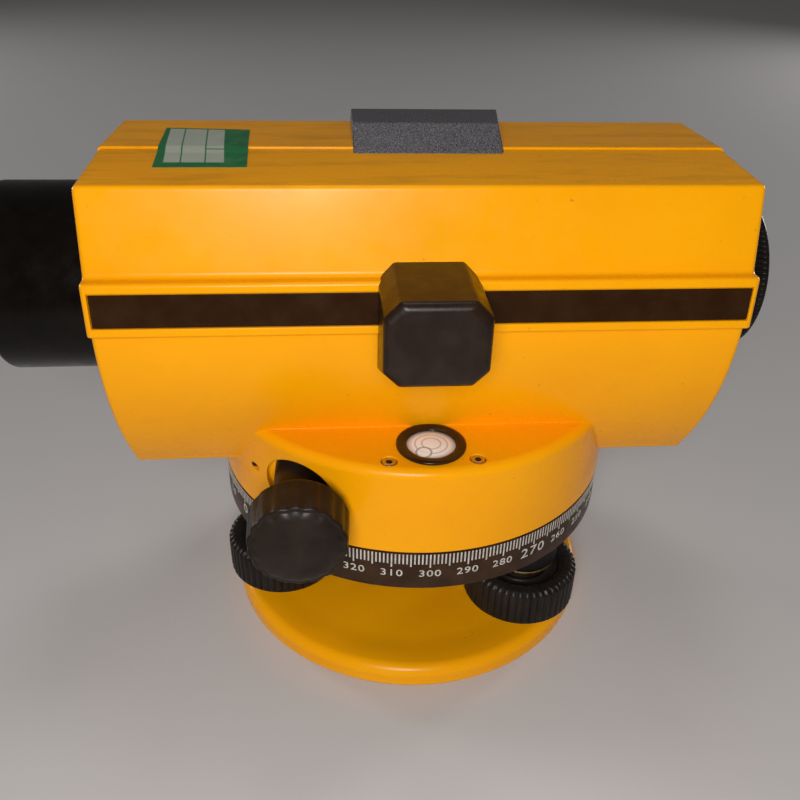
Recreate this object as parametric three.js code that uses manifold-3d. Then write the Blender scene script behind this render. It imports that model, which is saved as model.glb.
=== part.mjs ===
// Automatic surveying level on a three-screw base.
// Millimetres. Z is up along the spindle and z = 0 is the underside of the base plate.
// The telescope lies along X, objective at -X and eyepiece at +X. The circular vial is on the -Y side.

import * as THREE from "three";
import { mergeVertices } from "three/addons/utils/BufferGeometryUtils.js";
import Module from "manifold-3d";

const wasm = await Module();
wasm.setup();

// Facets round a circle
const wideSides = 36;
const barrelSides = 24;
const roundSides = 16;
const smallSides = 12;
const screwSides = 8;
const hexSides = 6;
const lensFaceShares = [0, 0.6, 1];

// Gaps and cuts
const fit = 0.3;
const overrun = 3;

// Base plate
const plateRadius = 57.5;
const plateThickness = 9.4;
const plateRimRound = 4.6;
const plateFootRound = 2.2;
const plateDishDepth = 1.3;
const plateDishRadius = 45;
const plateHubRadius = 19;
const plateHubDrop = 0.4;
const plateHubTop = plateThickness - plateHubDrop;
const tripodHoleRadius = 7.94;

// Foot screws: three on one circle, each with a ball end in a seat
const footCount = 3;
const footReach = 43.5;
const firstFootAngle = -43;
const ballRadius = 4.2;
const ballSink = 2.2;
const ballHeight = plateThickness - ballSink;
const ballNeckRadius = 3;
const studRadius = 4;
const seatRadius = 7.7;
const seatFloor = 1.2;
const seatBottom = ballHeight - ballRadius - seatFloor;
const seatLip = 0.5;
const seatTop = ballHeight + seatLip;
const knobRadius = 16.6;
const knobClearance = 4.6;
const knobBottom = plateThickness + knobClearance;
const knobHeight = 11;
const knobChamfer = 1.2;
const knobRibs = 20;
const knobRibDepth = 0.8;
const knobRecessRadius = 11.8;
const knobRecessDepth = 2.2;
const knobStepRadius = 8.6;
const knobStepDepth = 1.4;
const knobHubRadius = 6.2;
const knobHubDrop = 0.8;
const studCollarRadius = 6;
const studCollarHeight = 1.6;

// Spring plate and its screws
const springThickness = 1;
const springDiscRadius = 18;
const springArmHalfWidth = 6.6;
const springHoleRadius = 4;
const springCentreHole = 9;
const springScrewReach = 14;
const springScrewRadius = 1.6;
const springScrewDepth = 6;
const screwHeadRadius = 3;
const screwHeadHeight = 1.8;
const screwHeadEdge = 0.8;
const slotWidth = 0.8;
const slotDepth = 0.8;

// Tribrach: three arms and a hub that carry the spindle bush
const nutClearance = 2.3;
const nutFlange = 1.2;
const tribrachBottom = knobBottom + knobHeight + nutClearance + nutFlange + fit;
const tribrachBossHeight = 10.8;
const tribrachArmTop = tribrachBottom + tribrachBossHeight;
const tribrachArmDepth = 6.6;
const tribrachWebBottom = tribrachArmTop - tribrachArmDepth;
const tribrachHubRise = 1.4;
const tribrachTop = tribrachArmTop + tribrachHubRise;
const tribrachHubHeight = 16;
const tribrachHubBottom = tribrachTop - tribrachHubHeight;
const studProud = 0.2;
const studTop = tribrachArmTop + studProud;
const tribrachHubRadius = 19;
const tribrachBossRadius = 10.4;
const tribrachArmHalfWidth = 6.5;
const nutWall = 2.2;
const studSway = 0.95;
const nutRelief = 0.55;
const nutWaistHeight = 3.6;

// Spindle, its bush, the friction spring and the worm wheel
const spindleRadius = 9;
const spindleNutRadius = 13;
const spindleNutHeight = 4.2;
const spindleProud = 0.5;
const spindleBottom = tribrachHubBottom - fit - spindleNutHeight - spindleProud;
const spindleFlangeRadius = 16;
const spindleFlangeHeight = 3;
const bushWall = 2.9;
const bushFlangeRadius = 17;
const bushFlangeHeight = 1.6;
const bushFlangeBottom = tribrachTop + fit;
const bushFlangeTop = bushFlangeBottom + bushFlangeHeight;
const springWasherHeight = 1.4;
const springWasherRise = 0.5;
const springWasherRadius = 18;
const wheelTeeth = 50;
const wheelToothDepth = 0.9;
const wheelFace = 5;
const wheelHubRadius = 18;

// Turret radius, which the circle under it shares
const turretRadius = 58;

// Horizontal circle
const circleRadius = turretRadius;
const circleWebBottom = bushFlangeTop + fit;
const circleRimDrop = 1.2;
const circleBottom = circleWebBottom - circleRimDrop;
const circleHeight = 11.84;
const circleTop = circleBottom + circleHeight;
const circleWall = 2.6;
const circleWebThickness = 2.4;
const circleHubRadius = 19;
const circleHubHeight = 7;

// Drive: worm shaft across the turret with a knob at each end
const turretGap = 0.46;
const turretBottom = circleTop + turretGap;
const driveX = -33.3;
const driveRise = 12.9;
const driveHeight = turretBottom + driveRise;
const bushStop = 3.2;
const bushTop = driveHeight - bushStop;
const driveShaftRadius = 2.5;
const wormRadius = 4.5;
const wormDepth = 1.1;
const wormPitch = 3.6;
const wormTurns = 4;
const wormCrest = 1.2;
const driveKnobRadius = 12.5;
const driveKnobTaper = 0.9;
const driveKnobReach = 11.3;
const driveKnobEnd = turretRadius + driveKnobReach;
const driveKnobLength = 12;
const driveKnobFlutes = 18;
const driveKnobFluteDepth = 0.6;
const driveKnobDome = 1.6;
const driveKnobHubRadius = 7.3;
const driveShaftGrip = 7;
const pocketRadius = 9;
const pocketDepth = 16;
const pocketBack = turretRadius - pocketDepth;
const pocketWall = 2.6;
const pocketBackWall = 4;
const driveBushRadius = 5;
const driveBushLength = 6;

// Turret: the round skirt under the telescope body
const turretWall = 3.4;
const platformRise = 12.8;
const platformTop = driveHeight + platformRise;
const platformRound = 2.4;
const floorThickness = 3.2;
const floorDrop = 2.4;
const floorTop = platformTop - floorDrop;

// Telescope body
const bodyBack = -78.8;
const bodyFront = 74.9;
const bodySink = 15.4;
const bodyBottom = platformTop - bodySink;
const bodyHeight = 81.2;
const bodyTop = bodyBottom + bodyHeight;
const bodyWall = 3.3;
const bodyEndRound = 1;
const endWall = 4;
const opticShare = 0.5308;
const opticHeight = bodyBottom + bodyHeight * opticShare;
const bodyInset = 13.1;
const facetHalfWidth = turretRadius - bodyInset;
const facetLean = 1.7;
const facetTopHalfWidth = facetHalfWidth - facetLean;
const bandRise = 4.3;
const bandBottom = opticHeight + bandRise;
const bandHeight = 12.4;
const bandProud = 2.8;
const bandLean = 1.1;
const bandEdge = 0.5;
const topFlatHalfWidth = 13.9;
const shoulderInset = 6.2;
const shoulderHalfWidth = facetHalfWidth - shoulderInset;
const shoulderDrop = 2.2;
const farShoulderDrop = 6;
const shoulderRound = 4.3;
const keelInset = 16.3;
const keelHalfWidth = facetHalfWidth - keelInset;
const keelBulge = 0.4;
const keelRound = 1.2;

// Top cover and open sight
const coverThickness = 1.6;
const coverEndMargin = 9;
const coverSeat = 3;
const sightLength = 36.4;
const sightBaseHalfWidth = 16;
const sightTopHalfWidth = 8;
const sightHeight = 4.3;

// Stripe set into the near band
const stripeHeight = 7.6;
const stripeThickness = 0.5;
const stripeEndMargin = 1.8;

// Circular vial on the turret platform
const vialInset = 11.6;
const vialReach = turretRadius - vialInset;
const bezelRadius = 8.9;
const bezelWidth = 2.7;
const bezelHeight = 0.7;
const bezelEdge = 0.4;
const bezelFall = 0.2;
const vialCupRadius = 7.9;
const vialCupDepth = 8;
const vialCupWall = 1.2;
const vialDome = 0.6;
const vialScrewSpread = 11;
const vialScrewInset = 5.2;
const vialScrewReach = turretRadius - vialScrewInset;
const vialScrewRadius = 1.8;
const vialScrewLength = 5;
const vialScrewSocket = 0.9;

// Bubble prism box on the near side
const prismBoxX = -2;
const prismBoxHalfWidth = 11.6;
const prismBoxRise = 15.5;
const prismBoxTop = bandBottom + prismBoxRise;
const prismBoxHeight = 19.2;
const prismBoxFall = 10.3;
const prismBoxReach = 20.6;
const prismBoxFront = facetHalfWidth + prismBoxReach;
const prismBoxChamfer = 3.6;
const prismBoxBevel = 1;
const prismBoxWall = 2.8;

// Objective
const barrelRadius = 25.2;
const barrelFrontX = -111;
const barrelBackX = -50;
const barrelEdgeRound = 1.6;
const barrelFlangeRim = 2;
const barrelFlangeRadius = barrelRadius + barrelFlangeRim;
const barrelFlangeLength = 3;
const barrelSleeveStep = 2.7;
const barrelSleeveRadius = barrelRadius - barrelSleeveStep;
const barrelWall = 3.3;
const lensBore = barrelRadius - barrelWall;
const stopStep = 2.1;
const stopBore = lensBore - stopStep;
const objectiveRingLength = 2.2;
const objectiveRingWall = 2.4;
const objectiveRecess = 2.4;
const crownEdge = 2.6;
const crownBulge = 1.7;
const flintEdge = 4;
const flintBulge = 0.8;

// Focusing slide
const guideRadius = 12;
const guideWall = 2.1;
const guideOverlap = 4;
const guideFlangeLength = 3;
const cellX = -31;
const cellLength = 14;
const cellWall = 3;
const focusTravel = 12;
const focusSlotMargin = 1.2;
const focusLensEdge = 2;
const focusLensBulge = 1;
const pinionPitchRadius = 3;
const pinionToothHeight = 0.4;
const pinionTeeth = 10;
const pinionLength = 8;
const focusRise = 10.8;
const focusHeight = opticHeight + focusRise;
const focusShaftRadius = 2;
const focusBushRadius = 4.6;
const focusBushLength = 7;
const focusKnobRadius = 17;
const focusKnobLength = 14;
const focusKnobRibs = 24;
const focusKnobRibDepth = 0.7;
const focusKnobRound = 1.8;

// Compensator
const frameX = 8;
const frameLength = 30;
const frameHalfWidth = 20;
const frameThickness = 3;
const frameClearance = 9.8;
const frameTop = bodyTop - frameClearance;
const pendulumDrop = 15.7;
const pendulumBottom = opticHeight - pendulumDrop;
const pendulumLength = 18;
const pendulumHalfWidth = 13;
const pendulumWall = 2.4;
const tapeThickness = 0.5;
const tapeLength = 5;
const tapeHalfWidth = 3;
const magnetRadius = 4.5;

// Eyepiece
const eyeTubeRadius = 13;
const eyeTubeWall = 2;
const eyeTubeStartX = 50;
const eyeTubeEndX = 85;
const eyeTubeFlangeRadius = 18;
const eyeTubeFlangeLength = 3;
const reticleX = 54;
const reticleThickness = 1.6;
const eyeRingRadius = 21.8;
const eyeRingEndX = 91.5;
const eyeRingRibs = 24;
const eyeRingRibDepth = 0.8;
const eyeRingTravel = 1.2;
const eyeRingWeb = 2.2;
const eyeRingLip = 4;
const eyeCellStartX = 70;
const eyeLensX = 83;
const eyeCellWall = 2;
const eyeLensEdge = 2.2;
const eyeLensBulge = 1;

// Paints and finishes
const finish = {
  paint: { color: 0xf5a60a, roughness: 0.35, metalness: 0 },
  satinBlack: { color: 0x17161a, roughness: 0.4, metalness: 0 },
  knobBlack: { color: 0x242021, roughness: 0.55, metalness: 0 },
  stripeBrown: { color: 0x2a1a10, roughness: 0.25, metalness: 0 },
  steel: { color: 0xb9babd, roughness: 0.3, metalness: 1 },
  bronze: { color: 0xb98a45, roughness: 0.4, metalness: 1 },
  aluminium: { color: 0xc6c8ca, roughness: 0.4, metalness: 1 },
  nylon: { color: 0xe8e4d8, roughness: 0.6, metalness: 0 },
  glass: { color: 0xd9e8ec, roughness: 0.05, metalness: 0 },
};

// Geometry helpers

// Only positions, with shared corners welded, collapsed triangles dropped and faces turned outwards.
function toSolid(geometry) {
  const bare = geometry.clone();
  bare.deleteAttribute("normal");
  bare.deleteAttribute("uv");
  const welded = mergeVertices(bare);
  const corners = welded.attributes.position;
  const kept = [];
  let volume = 0;
  const a = new THREE.Vector3();
  const b = new THREE.Vector3();
  const c = new THREE.Vector3();
  for (let i = 0; i < welded.index.count; i += 3) {
    const [p, q, r] = [0, 1, 2].map((step) => welded.index.getX(i + step));
    if (p === q || q === r || r === p) continue;
    kept.push([p, q, r]);
    a.fromBufferAttribute(corners, p);
    b.fromBufferAttribute(corners, q);
    c.fromBufferAttribute(corners, r);
    volume += a.dot(b.cross(c));
  }
  const outward = volume < 0 ? kept.map(([p, q, r]) => [p, r, q]) : kept;
  return new wasm.Manifold(new wasm.Mesh({
    numProp: 3,
    vertProperties: corners.array,
    triVerts: Uint32Array.from(outward.flat()),
  }));
}

function toGeometry(solid) {
  const mesh = solid.getMesh();
  const geometry = new THREE.BufferGeometry();
  geometry.setAttribute("position", new THREE.BufferAttribute(mesh.vertProperties, 3));
  geometry.setIndex(new THREE.BufferAttribute(mesh.triVerts, 1));
  geometry.computeVertexNormals();
  return geometry;
}

function cut(body, ...tools) {
  return toGeometry(tools.reduce((left, tool) => left.subtract(toSolid(tool)), toSolid(body)));
}

function join(body, ...others) {
  return toGeometry(others.reduce((sum, other) => sum.add(toSolid(other)), toSolid(body)));
}

function common(body, other) {
  return toGeometry(toSolid(body).intersect(toSolid(other)));
}

// A profile of [radius, height] pairs turned about Z. One that stays off the axis is closed here.
function turned(profile, sides = roundSides) {
  const points = profile.map(([radius, height]) => new THREE.Vector2(radius, height));
  if (profile[0][0] > 0) points.push(points[0].clone());
  return new THREE.LatheGeometry(points, sides).rotateX(Math.PI / 2);
}

function ring(inner, outer, bottom, top, sides = roundSides) {
  return turned([[inner, bottom], [outer, bottom], [outer, top], [inner, top]], sides);
}

function rod(radius, bottom, top, sides = roundSides) {
  return turned([[0, bottom], [radius, bottom], [radius, top], [0, top]], sides);
}

function box(lowX, highX, lowY, highY, lowZ, highZ) {
  const block = new THREE.BoxGeometry(highX - lowX, highY - lowY, highZ - lowZ);
  return block.translate((lowX + highX) / 2, (lowY + highY) / 2, (lowZ + highZ) / 2);
}

// An outline of [x, y] pairs raised along Z.
function raised(outline, bottom, top) {
  const shape = new THREE.Shape(outline.map(([x, y]) => new THREE.Vector2(x, y)));
  const plate = new THREE.ExtrudeGeometry(shape, { depth: top - bottom, bevelEnabled: false });
  return plate.translate(0, 0, bottom);
}

function alongX(geometry) {
  return geometry.rotateY(Math.PI / 2);
}

function alongY(geometry) {
  return geometry.rotateX(-Math.PI / 2);
}

function degrees(angle) {
  return THREE.MathUtils.degToRad(angle);
}

function polar(radius, angle) {
  return [radius * Math.cos(angle), radius * Math.sin(angle)];
}

// Points of an arc in a [radius, height] profile, both ends included.
function arc(centre, radius, from, to, steps) {
  return Array.from({ length: steps + 1 }, (_, i) => {
    const angle = degrees(from + ((to - from) * i) / steps);
    return [centre[0] + radius * Math.cos(angle), centre[1] + radius * Math.sin(angle)];
  });
}

// Skin over rings of equal point counts, with a fan over the first and the last.
function skinned(rings) {
  const count = rings[0].length;
  const middle = (points) => points.reduce((sum, p) => sum.add(p), new THREE.Vector3()).divideScalar(count);
  const corners = [...rings.flat(), middle(rings[0]), middle(rings[rings.length - 1])];
  const places = corners.flatMap((corner) => corner.toArray());
  const faces = [];
  const firstMiddle = corners.length - 2;
  const lastMiddle = corners.length - 1;
  const lastRing = (rings.length - 1) * count;
  for (let i = 0; i < count; i += 1) {
    const next = (i + 1) % count;
    for (let k = 0; k < rings.length - 1; k += 1) {
      const near = k * count;
      const far = near + count;
      faces.push(near + i, near + next, far + i, near + next, far + next, far + i);
    }
    faces.push(firstMiddle, next, i, lastMiddle, lastRing + i, lastRing + next);
  }
  const geometry = new THREE.BufferGeometry();
  geometry.setAttribute("position", new THREE.Float32BufferAttribute(places, 3));
  geometry.setIndex(faces);
  return geometry;
}

// A ribbed round about Z: stations of [radius, height], with grooves between the ribs.
function ribbed(stations, ribs, depth) {
  return skinned(stations.map(([radius, height]) => Array.from({ length: ribs * 2 }, (_, i) => {
    const [x, y] = polar(i % 2 ? radius - depth : radius, (Math.PI * i) / ribs);
    return new THREE.Vector3(x, y, height);
  })));
}

const level = new THREE.Group();

function add(name, geometry, look, place = [0, 0, 0], turn = [0, 0, 0]) {
  const mesh = new THREE.Mesh(toGeometry(toSolid(geometry)), new THREE.MeshStandardMaterial(finish[look]));
  mesh.name = name;
  mesh.position.set(...place);
  mesh.rotation.set(...turn);
  level.add(mesh);
  return mesh;
}

// The bearing of each foot screw, and its place on the foot circle
const footAngles = Array.from({ length: footCount }, (_, i) => (
  degrees(firstFootAngle + (360 * i) / footCount)));
const feet = footAngles.map((angle) => polar(footReach, angle));
const halfTurn = Math.PI / footCount;

// Three arms and a hub in plan, as one outline
function threeArms(hubRadius, armHalfWidth, tipRadius) {
  const spread = Math.asin(armHalfWidth / hubRadius);
  const wrap = Math.PI - Math.asin(armHalfWidth / tipRadius);
  const tipSteps = 6;
  const hubSteps = 3;
  return footAngles.flatMap((angle, i) => {
    const tip = Array.from({ length: tipSteps + 1 }, (_, k) => {
      const [x, y] = polar(tipRadius, angle + wrap * ((2 * k) / tipSteps - 1));
      return [feet[i][0] + x, feet[i][1] + y];
    });
    const hub = Array.from({ length: hubSteps + 1 }, (_, k) => (
      polar(hubRadius, angle + spread + (2 * (halfTurn - spread) * k) / hubSteps)));
    return [...tip, ...hub];
  });
}

// Base plate with its rounded rim, dished top, three seat pockets and the tripod thread's hole
function basePlate() {
  const dish = plateThickness - plateDishDepth;
  const plate = turned([
    [tripodHoleRadius, 0],
    [plateRadius - plateFootRound, 0],
    [plateRadius, plateFootRound],
    ...arc([plateRadius - plateRimRound, plateThickness - plateRimRound], plateRimRound, 0, 90, 3),
    [plateDishRadius, dish],
    [plateHubRadius, dish],
    [plateHubRadius, plateHubTop],
    [tripodHoleRadius, plateHubTop],
  ], wideSides);
  const pockets = feet.map(([x, y]) => (
    rod(seatRadius + fit, seatBottom - fit, plateThickness + overrun, smallSides).translate(x, y, 0)));
  const screwHole = rod(springScrewRadius + fit, springScrewTip - fit, plateHubTop + overrun, screwSides);
  const screwHoles = springScrewPlaces.map(([x, y]) => screwHole.clone().translate(x, y, 0));
  return cut(plate, ...pockets, ...screwHoles);
}

const springBottom = plateHubTop + fit;
const springTop = springBottom + springThickness;
const springScrewTip = springTop - springScrewDepth;
const springScrewPlaces = footAngles.map((angle) => polar(springScrewReach, angle + halfTurn));

// Thin three-armed plate that holds the ball ends down
function springPlate() {
  const outline = threeArms(springDiscRadius, springArmHalfWidth, springArmHalfWidth);
  const hole = (radius, [x, y]) => (
    rod(radius, springBottom - overrun, springTop + overrun, smallSides).translate(x, y, 0));
  return cut(
    raised(outline, springBottom, springTop),
    hole(springCentreHole, [0, 0]),
    ...feet.map((place) => hole(springHoleRadius, place)),
    ...springScrewPlaces.map((place) => hole(springScrewRadius + fit, place)),
  );
}

// Slotted pan-head screw, its head underside at z = 0
function panScrew() {
  const screw = turned([
    [0, -springScrewDepth - fit],
    [springScrewRadius, -springScrewDepth - fit],
    [springScrewRadius, 0],
    [screwHeadRadius, 0],
    [screwHeadRadius, screwHeadHeight - screwHeadEdge],
    [screwHeadRadius - screwHeadEdge, screwHeadHeight],
    [0, screwHeadHeight],
  ], screwSides);
  const slot = box(
    -screwHeadRadius - overrun, screwHeadRadius + overrun,
    -slotWidth / 2, slotWidth / 2,
    screwHeadHeight - slotDepth, screwHeadHeight + overrun,
  );
  return cut(screw, slot);
}

// Cup that a foot screw's ball turns in
function ballSeat() {
  const cup = rod(seatRadius, seatBottom, seatTop, smallSides);
  const socket = new THREE.SphereGeometry(ballRadius + fit, smallSides, smallSides / 2);
  return cut(cup, socket.rotateX(Math.PI / 2).translate(0, 0, ballHeight));
}

// Foot screw: ball, neck, collar and threaded shank
function footStud() {
  const neckAngle = THREE.MathUtils.radToDeg(Math.acos(ballNeckRadius / ballRadius));
  const ball = arc([0, ballHeight], ballRadius, -90, neckAngle, 4).slice(1);
  const collarTop = knobBottom - fit;
  return turned([
    [0, ballHeight - ballRadius],
    ...ball,
    [ballNeckRadius, collarTop - studCollarHeight],
    [studCollarRadius, collarTop - studCollarHeight],
    [studCollarRadius, collarTop],
    [studRadius, collarTop],
    [studRadius, studTop],
    [0, studTop],
  ], smallSides);
}

// Ribbed foot knob with a stepped recess in its top
function footKnob() {
  const top = knobBottom + knobHeight;
  const grip = ribbed([
    [knobRadius, knobBottom],
    [knobRadius, top - knobChamfer],
    [knobRadius - knobChamfer, top],
  ], knobRibs, knobRibDepth);
  const recess = turned([
    [0, top - knobHubDrop],
    [knobHubRadius, top - knobHubDrop],
    [knobHubRadius, top - knobRecessDepth - knobStepDepth],
    [knobStepRadius, top - knobRecessDepth - knobStepDepth],
    [knobStepRadius, top - knobRecessDepth],
    [knobRecessRadius, top - knobRecessDepth],
    [knobRecessRadius + knobChamfer, top],
    [knobRecessRadius + knobChamfer, top + overrun],
    [0, top + overrun],
  ], smallSides);
  const bore = rod(studRadius + fit, knobBottom - overrun, top + overrun, smallSides);
  return cut(grip, recess, bore);
}

const nutWaist = studRadius + studSway;
const nutInner = nutWaist + nutRelief;
const nutOuter = nutInner + nutWall;

// Bronze nut in a tribrach arm, with room inside for the screw as the tribrach tilts
function footNut() {
  const flangeRadius = nutOuter + nutWall;
  const flangeTop = tribrachBottom - fit;
  const waistTop = flangeTop - nutFlange + nutWaistHeight;
  return turned([
    [nutWaist, flangeTop - nutFlange],
    [flangeRadius, flangeTop - nutFlange],
    [flangeRadius, flangeTop],
    [nutOuter, flangeTop],
    [nutOuter, tribrachArmTop],
    [nutInner, tribrachArmTop],
    [nutInner, waistTop],
    [nutWaist, waistTop],
  ], smallSides);
}

const bushInner = spindleRadius + fit;
const bushOuter = bushInner + bushWall;

// Tribrach: hub, three arms and a boss round each nut
function tribrach() {
  const outline = threeArms(tribrachHubRadius, tribrachArmHalfWidth, tribrachBossRadius);
  const arms = raised(outline, tribrachWebBottom, tribrachArmTop);
  const boss = rod(tribrachBossRadius, tribrachBottom, tribrachArmTop);
  const bosses = feet.map(([x, y]) => boss.clone().translate(x, y, 0));
  const hub = rod(tribrachHubRadius, tribrachHubBottom, tribrachTop);
  const holes = feet.map(([x, y]) => (
    rod(nutOuter + fit, tribrachBottom - overrun, tribrachTop + overrun, smallSides).translate(x, y, 0)));
  const centre = rod(bushOuter + fit, tribrachHubBottom - overrun, tribrachTop + overrun);
  return cut(join(arms, hub, ...bosses), centre, ...holes);
}

// Bush that the spindle turns in, with the flange that carries the circle
function spindleBush() {
  return turned([
    [bushInner, tribrachHubBottom],
    [bushOuter, tribrachHubBottom],
    [bushOuter, bushFlangeBottom],
    [bushFlangeRadius, bushFlangeBottom],
    [bushFlangeRadius, bushFlangeTop],
    [bushOuter, bushFlangeTop],
    [bushOuter, bushTop],
    [bushInner, bushTop],
  ]);
}

const circleWebTop = circleWebBottom + circleWebThickness;
const circleHubTop = circleWebBottom + circleHubHeight;

// Horizontal circle: a shallow dish with an upright rim for the degree marks
function horizontalCircle() {
  const inner = circleRadius - circleWall;
  return turned([
    [bushOuter + fit, circleWebBottom],
    [inner, circleWebBottom],
    [inner, circleBottom],
    [circleRadius, circleBottom],
    [circleRadius, circleTop],
    [inner, circleTop],
    [inner, circleWebTop],
    [circleHubRadius, circleWebTop],
    [circleHubRadius, circleHubTop],
    [bushOuter + fit, circleHubTop],
  ], wideSides);
}

const washerBottom = circleHubTop + fit;
const washerTop = washerBottom + springWasherHeight;

// Dished friction washer between the circle and the worm wheel
function frictionWasher() {
  const inner = bushOuter + fit;
  return turned([
    [inner, washerBottom + springWasherRise],
    [springWasherRadius, washerBottom],
    [springWasherRadius, washerTop - springWasherRise],
    [inner, washerTop],
  ]);
}

const wheelRadius = -driveX - wormRadius - fit;
const wheelTop = driveHeight + wheelFace / 2;
const wheelBottom = driveHeight - wheelFace / 2;

// Worm wheel: a toothed disc and a long hub on the bush
function wormWheel() {
  const outline = Array.from({ length: wheelTeeth * 2 }, (_, i) => (
    polar(i % 2 ? wheelRadius - wheelToothDepth : wheelRadius, (Math.PI * i) / wheelTeeth)));
  const rim = raised(outline, wheelBottom, wheelTop);
  const hub = rod(wheelHubRadius, washerTop + fit, wheelTop);
  return cut(join(rim, hub), rod(bushOuter + fit, circleTop - overrun, wheelTop + overrun));
}

const floorBottom = floorTop - floorThickness;
const flangeTop = floorBottom - fit;

// Vertical spindle hung from the turret's floor
function spindle() {
  return turned([
    [0, spindleBottom],
    [spindleRadius, spindleBottom],
    [spindleRadius, flangeTop - spindleFlangeHeight],
    [spindleFlangeRadius, flangeTop - spindleFlangeHeight],
    [spindleFlangeRadius, flangeTop],
    [0, flangeTop],
  ]);
}

function spindleNut() {
  const top = tribrachHubBottom - fit;
  return ring(bushInner, spindleNutRadius, top - spindleNutHeight, top);
}

// Telescope body section

const bandTop = bandBottom + bandHeight;
const bandReach = facetHalfWidth + bandProud;

// Points that round the corner between two sides
function eased(from, corner, to, steps) {
  return Array.from({ length: steps + 1 }, (_, i) => {
    const t = i / steps;
    return [0, 1].map((k) => (
      (1 - t) * (1 - t) * from[k] + 2 * t * (1 - t) * corner[k] + t * t * to[k]));
  });
}

// Half of the section as [y, z], from the top flat to the keel
function halfSection(proud, drop) {
  const shoulder = [shoulderHalfWidth, bodyTop - drop];
  const facetTop = [facetTopHalfWidth, bandTop];
  const facetFall = new THREE.Vector2(facetTop[0] - shoulder[0], facetTop[1] - shoulder[1]);
  facetFall.setLength(shoulderRound);
  const topRun = new THREE.Vector2(topFlatHalfWidth - shoulder[0], drop);
  topRun.setLength(shoulderRound);
  const bandLow = facetHalfWidth + proud;
  const bandHigh = bandLow - (proud > 0 ? bandLean : 0);
  const edge = proud > 0 ? bandEdge : 0;
  const band = proud > 0 ? [
    [facetTopHalfWidth, bandTop + edge],
    [bandHigh - edge, bandTop],
    [bandHigh, bandTop - edge],
    [bandLow, bandBottom + edge],
    [bandLow - edge, bandBottom],
    [facetHalfWidth, bandBottom - edge],
  ] : [];
  return [
    [topFlatHalfWidth, bodyTop],
    ...eased(
      [shoulder[0] + topRun.x, shoulder[1] + topRun.y],
      shoulder,
      [shoulder[0] + facetFall.x, shoulder[1] + facetFall.y],
      2,
    ),
    ...band,
    ...eased(
      [facetHalfWidth, bandBottom - 2 * bandEdge],
      [facetHalfWidth + keelBulge, (bandBottom + bodyBottom) / 2],
      [keelHalfWidth, bodyBottom + keelRound],
      4,
    ),
    [keelHalfWidth - keelRound, bodyBottom],
  ];
}

// The section's ring at one station, drawn in by an inset. The top falls more on the far side.
function sectionRing(x, inset, proud) {
  const near = halfSection(proud, shoulderDrop).map(([y, z]) => [-y, z]);
  const loop = [...halfSection(proud, farShoulderDrop), ...near.reverse()];
  const across = 1 - inset / facetHalfWidth;
  const upright = 1 - inset / ((bodyTop - bodyBottom) / 2);
  return loop.map(([y, z]) => new THREE.Vector3(x, y * across, opticHeight + (z - opticHeight) * upright));
}

// Body skin between two end planes, with rounded ends
function bodySkin(back, front, inset, proud, endRound) {
  const ends = (endRound > 0 ? [0, 1, 2] : [2]).map((quarter) => (Math.PI / 4) * quarter);
  const backRings = ends.map((t) => (
    sectionRing(back + endRound * (1 - Math.sin(t)), inset + endRound * (1 - Math.cos(t)), proud)));
  const frontRings = ends.map((t) => (
    sectionRing(front - endRound * (1 - Math.sin(t)), inset + endRound * (1 - Math.cos(t)), proud)));
  return skinned([...backRings.reverse(), ...frontRings]);
}

// The body's full outside, grown by the given gap
function bodyOutside(growth) {
  return bodySkin(bodyBack - growth, bodyFront + growth, -growth, bandProud, bodyEndRound);
}

const turretInner = turretRadius - turretWall;

function turretSkin() {
  return turned([
    [0, floorBottom],
    [turretInner, floorBottom],
    [turretInner, turretBottom],
    [turretRadius, turretBottom],
    ...arc([turretRadius - platformRound, platformTop - platformRound], platformRound, 0, 90, 2),
    [0, platformTop],
  ], wideSides);
}

// Turns a shape made along Z to lie along Y on the near side (-1) or the far side (1)
function crosswise(geometry, side) {
  return geometry.rotateX((-side * Math.PI) / 2);
}

function driveRod(radius, from, to, side, sides = roundSides) {
  return crosswise(rod(radius, from, to, sides), side).translate(driveX, 0, driveHeight);
}

// An outline of [y, z] pairs drawn out along X
function drawnX(outline, from, to) {
  return alongX(raised(outline.map(([y, z]) => [-z, y]), from, to));
}

// An outline of [x, z] pairs drawn out along Y
function drawnY(outline, from, to) {
  return raised(outline, -to, -from).rotateX(Math.PI / 2);
}

const stripeTop = bandBottom + (bandHeight + stripeHeight) / 2;

// The stripe's plate, or with a margin the recess that it lies in
function stripePlate(margin, depth, stand) {
  const lean = Math.atan(bandLean / bandHeight);
  const low = stripeTop - stripeHeight - margin - bandBottom;
  const high = stripeTop + margin - bandBottom;
  const back = bodyBack + stripeEndMargin - margin;
  const front = bodyFront - stripeEndMargin + margin;
  const plate = box(back, front, -stand, depth, low, high);
  return plate.rotateX(-lean).translate(0, -bandReach, bandBottom);
}

const driveBossEnd = pocketBack - pocketBackWall;

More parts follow.
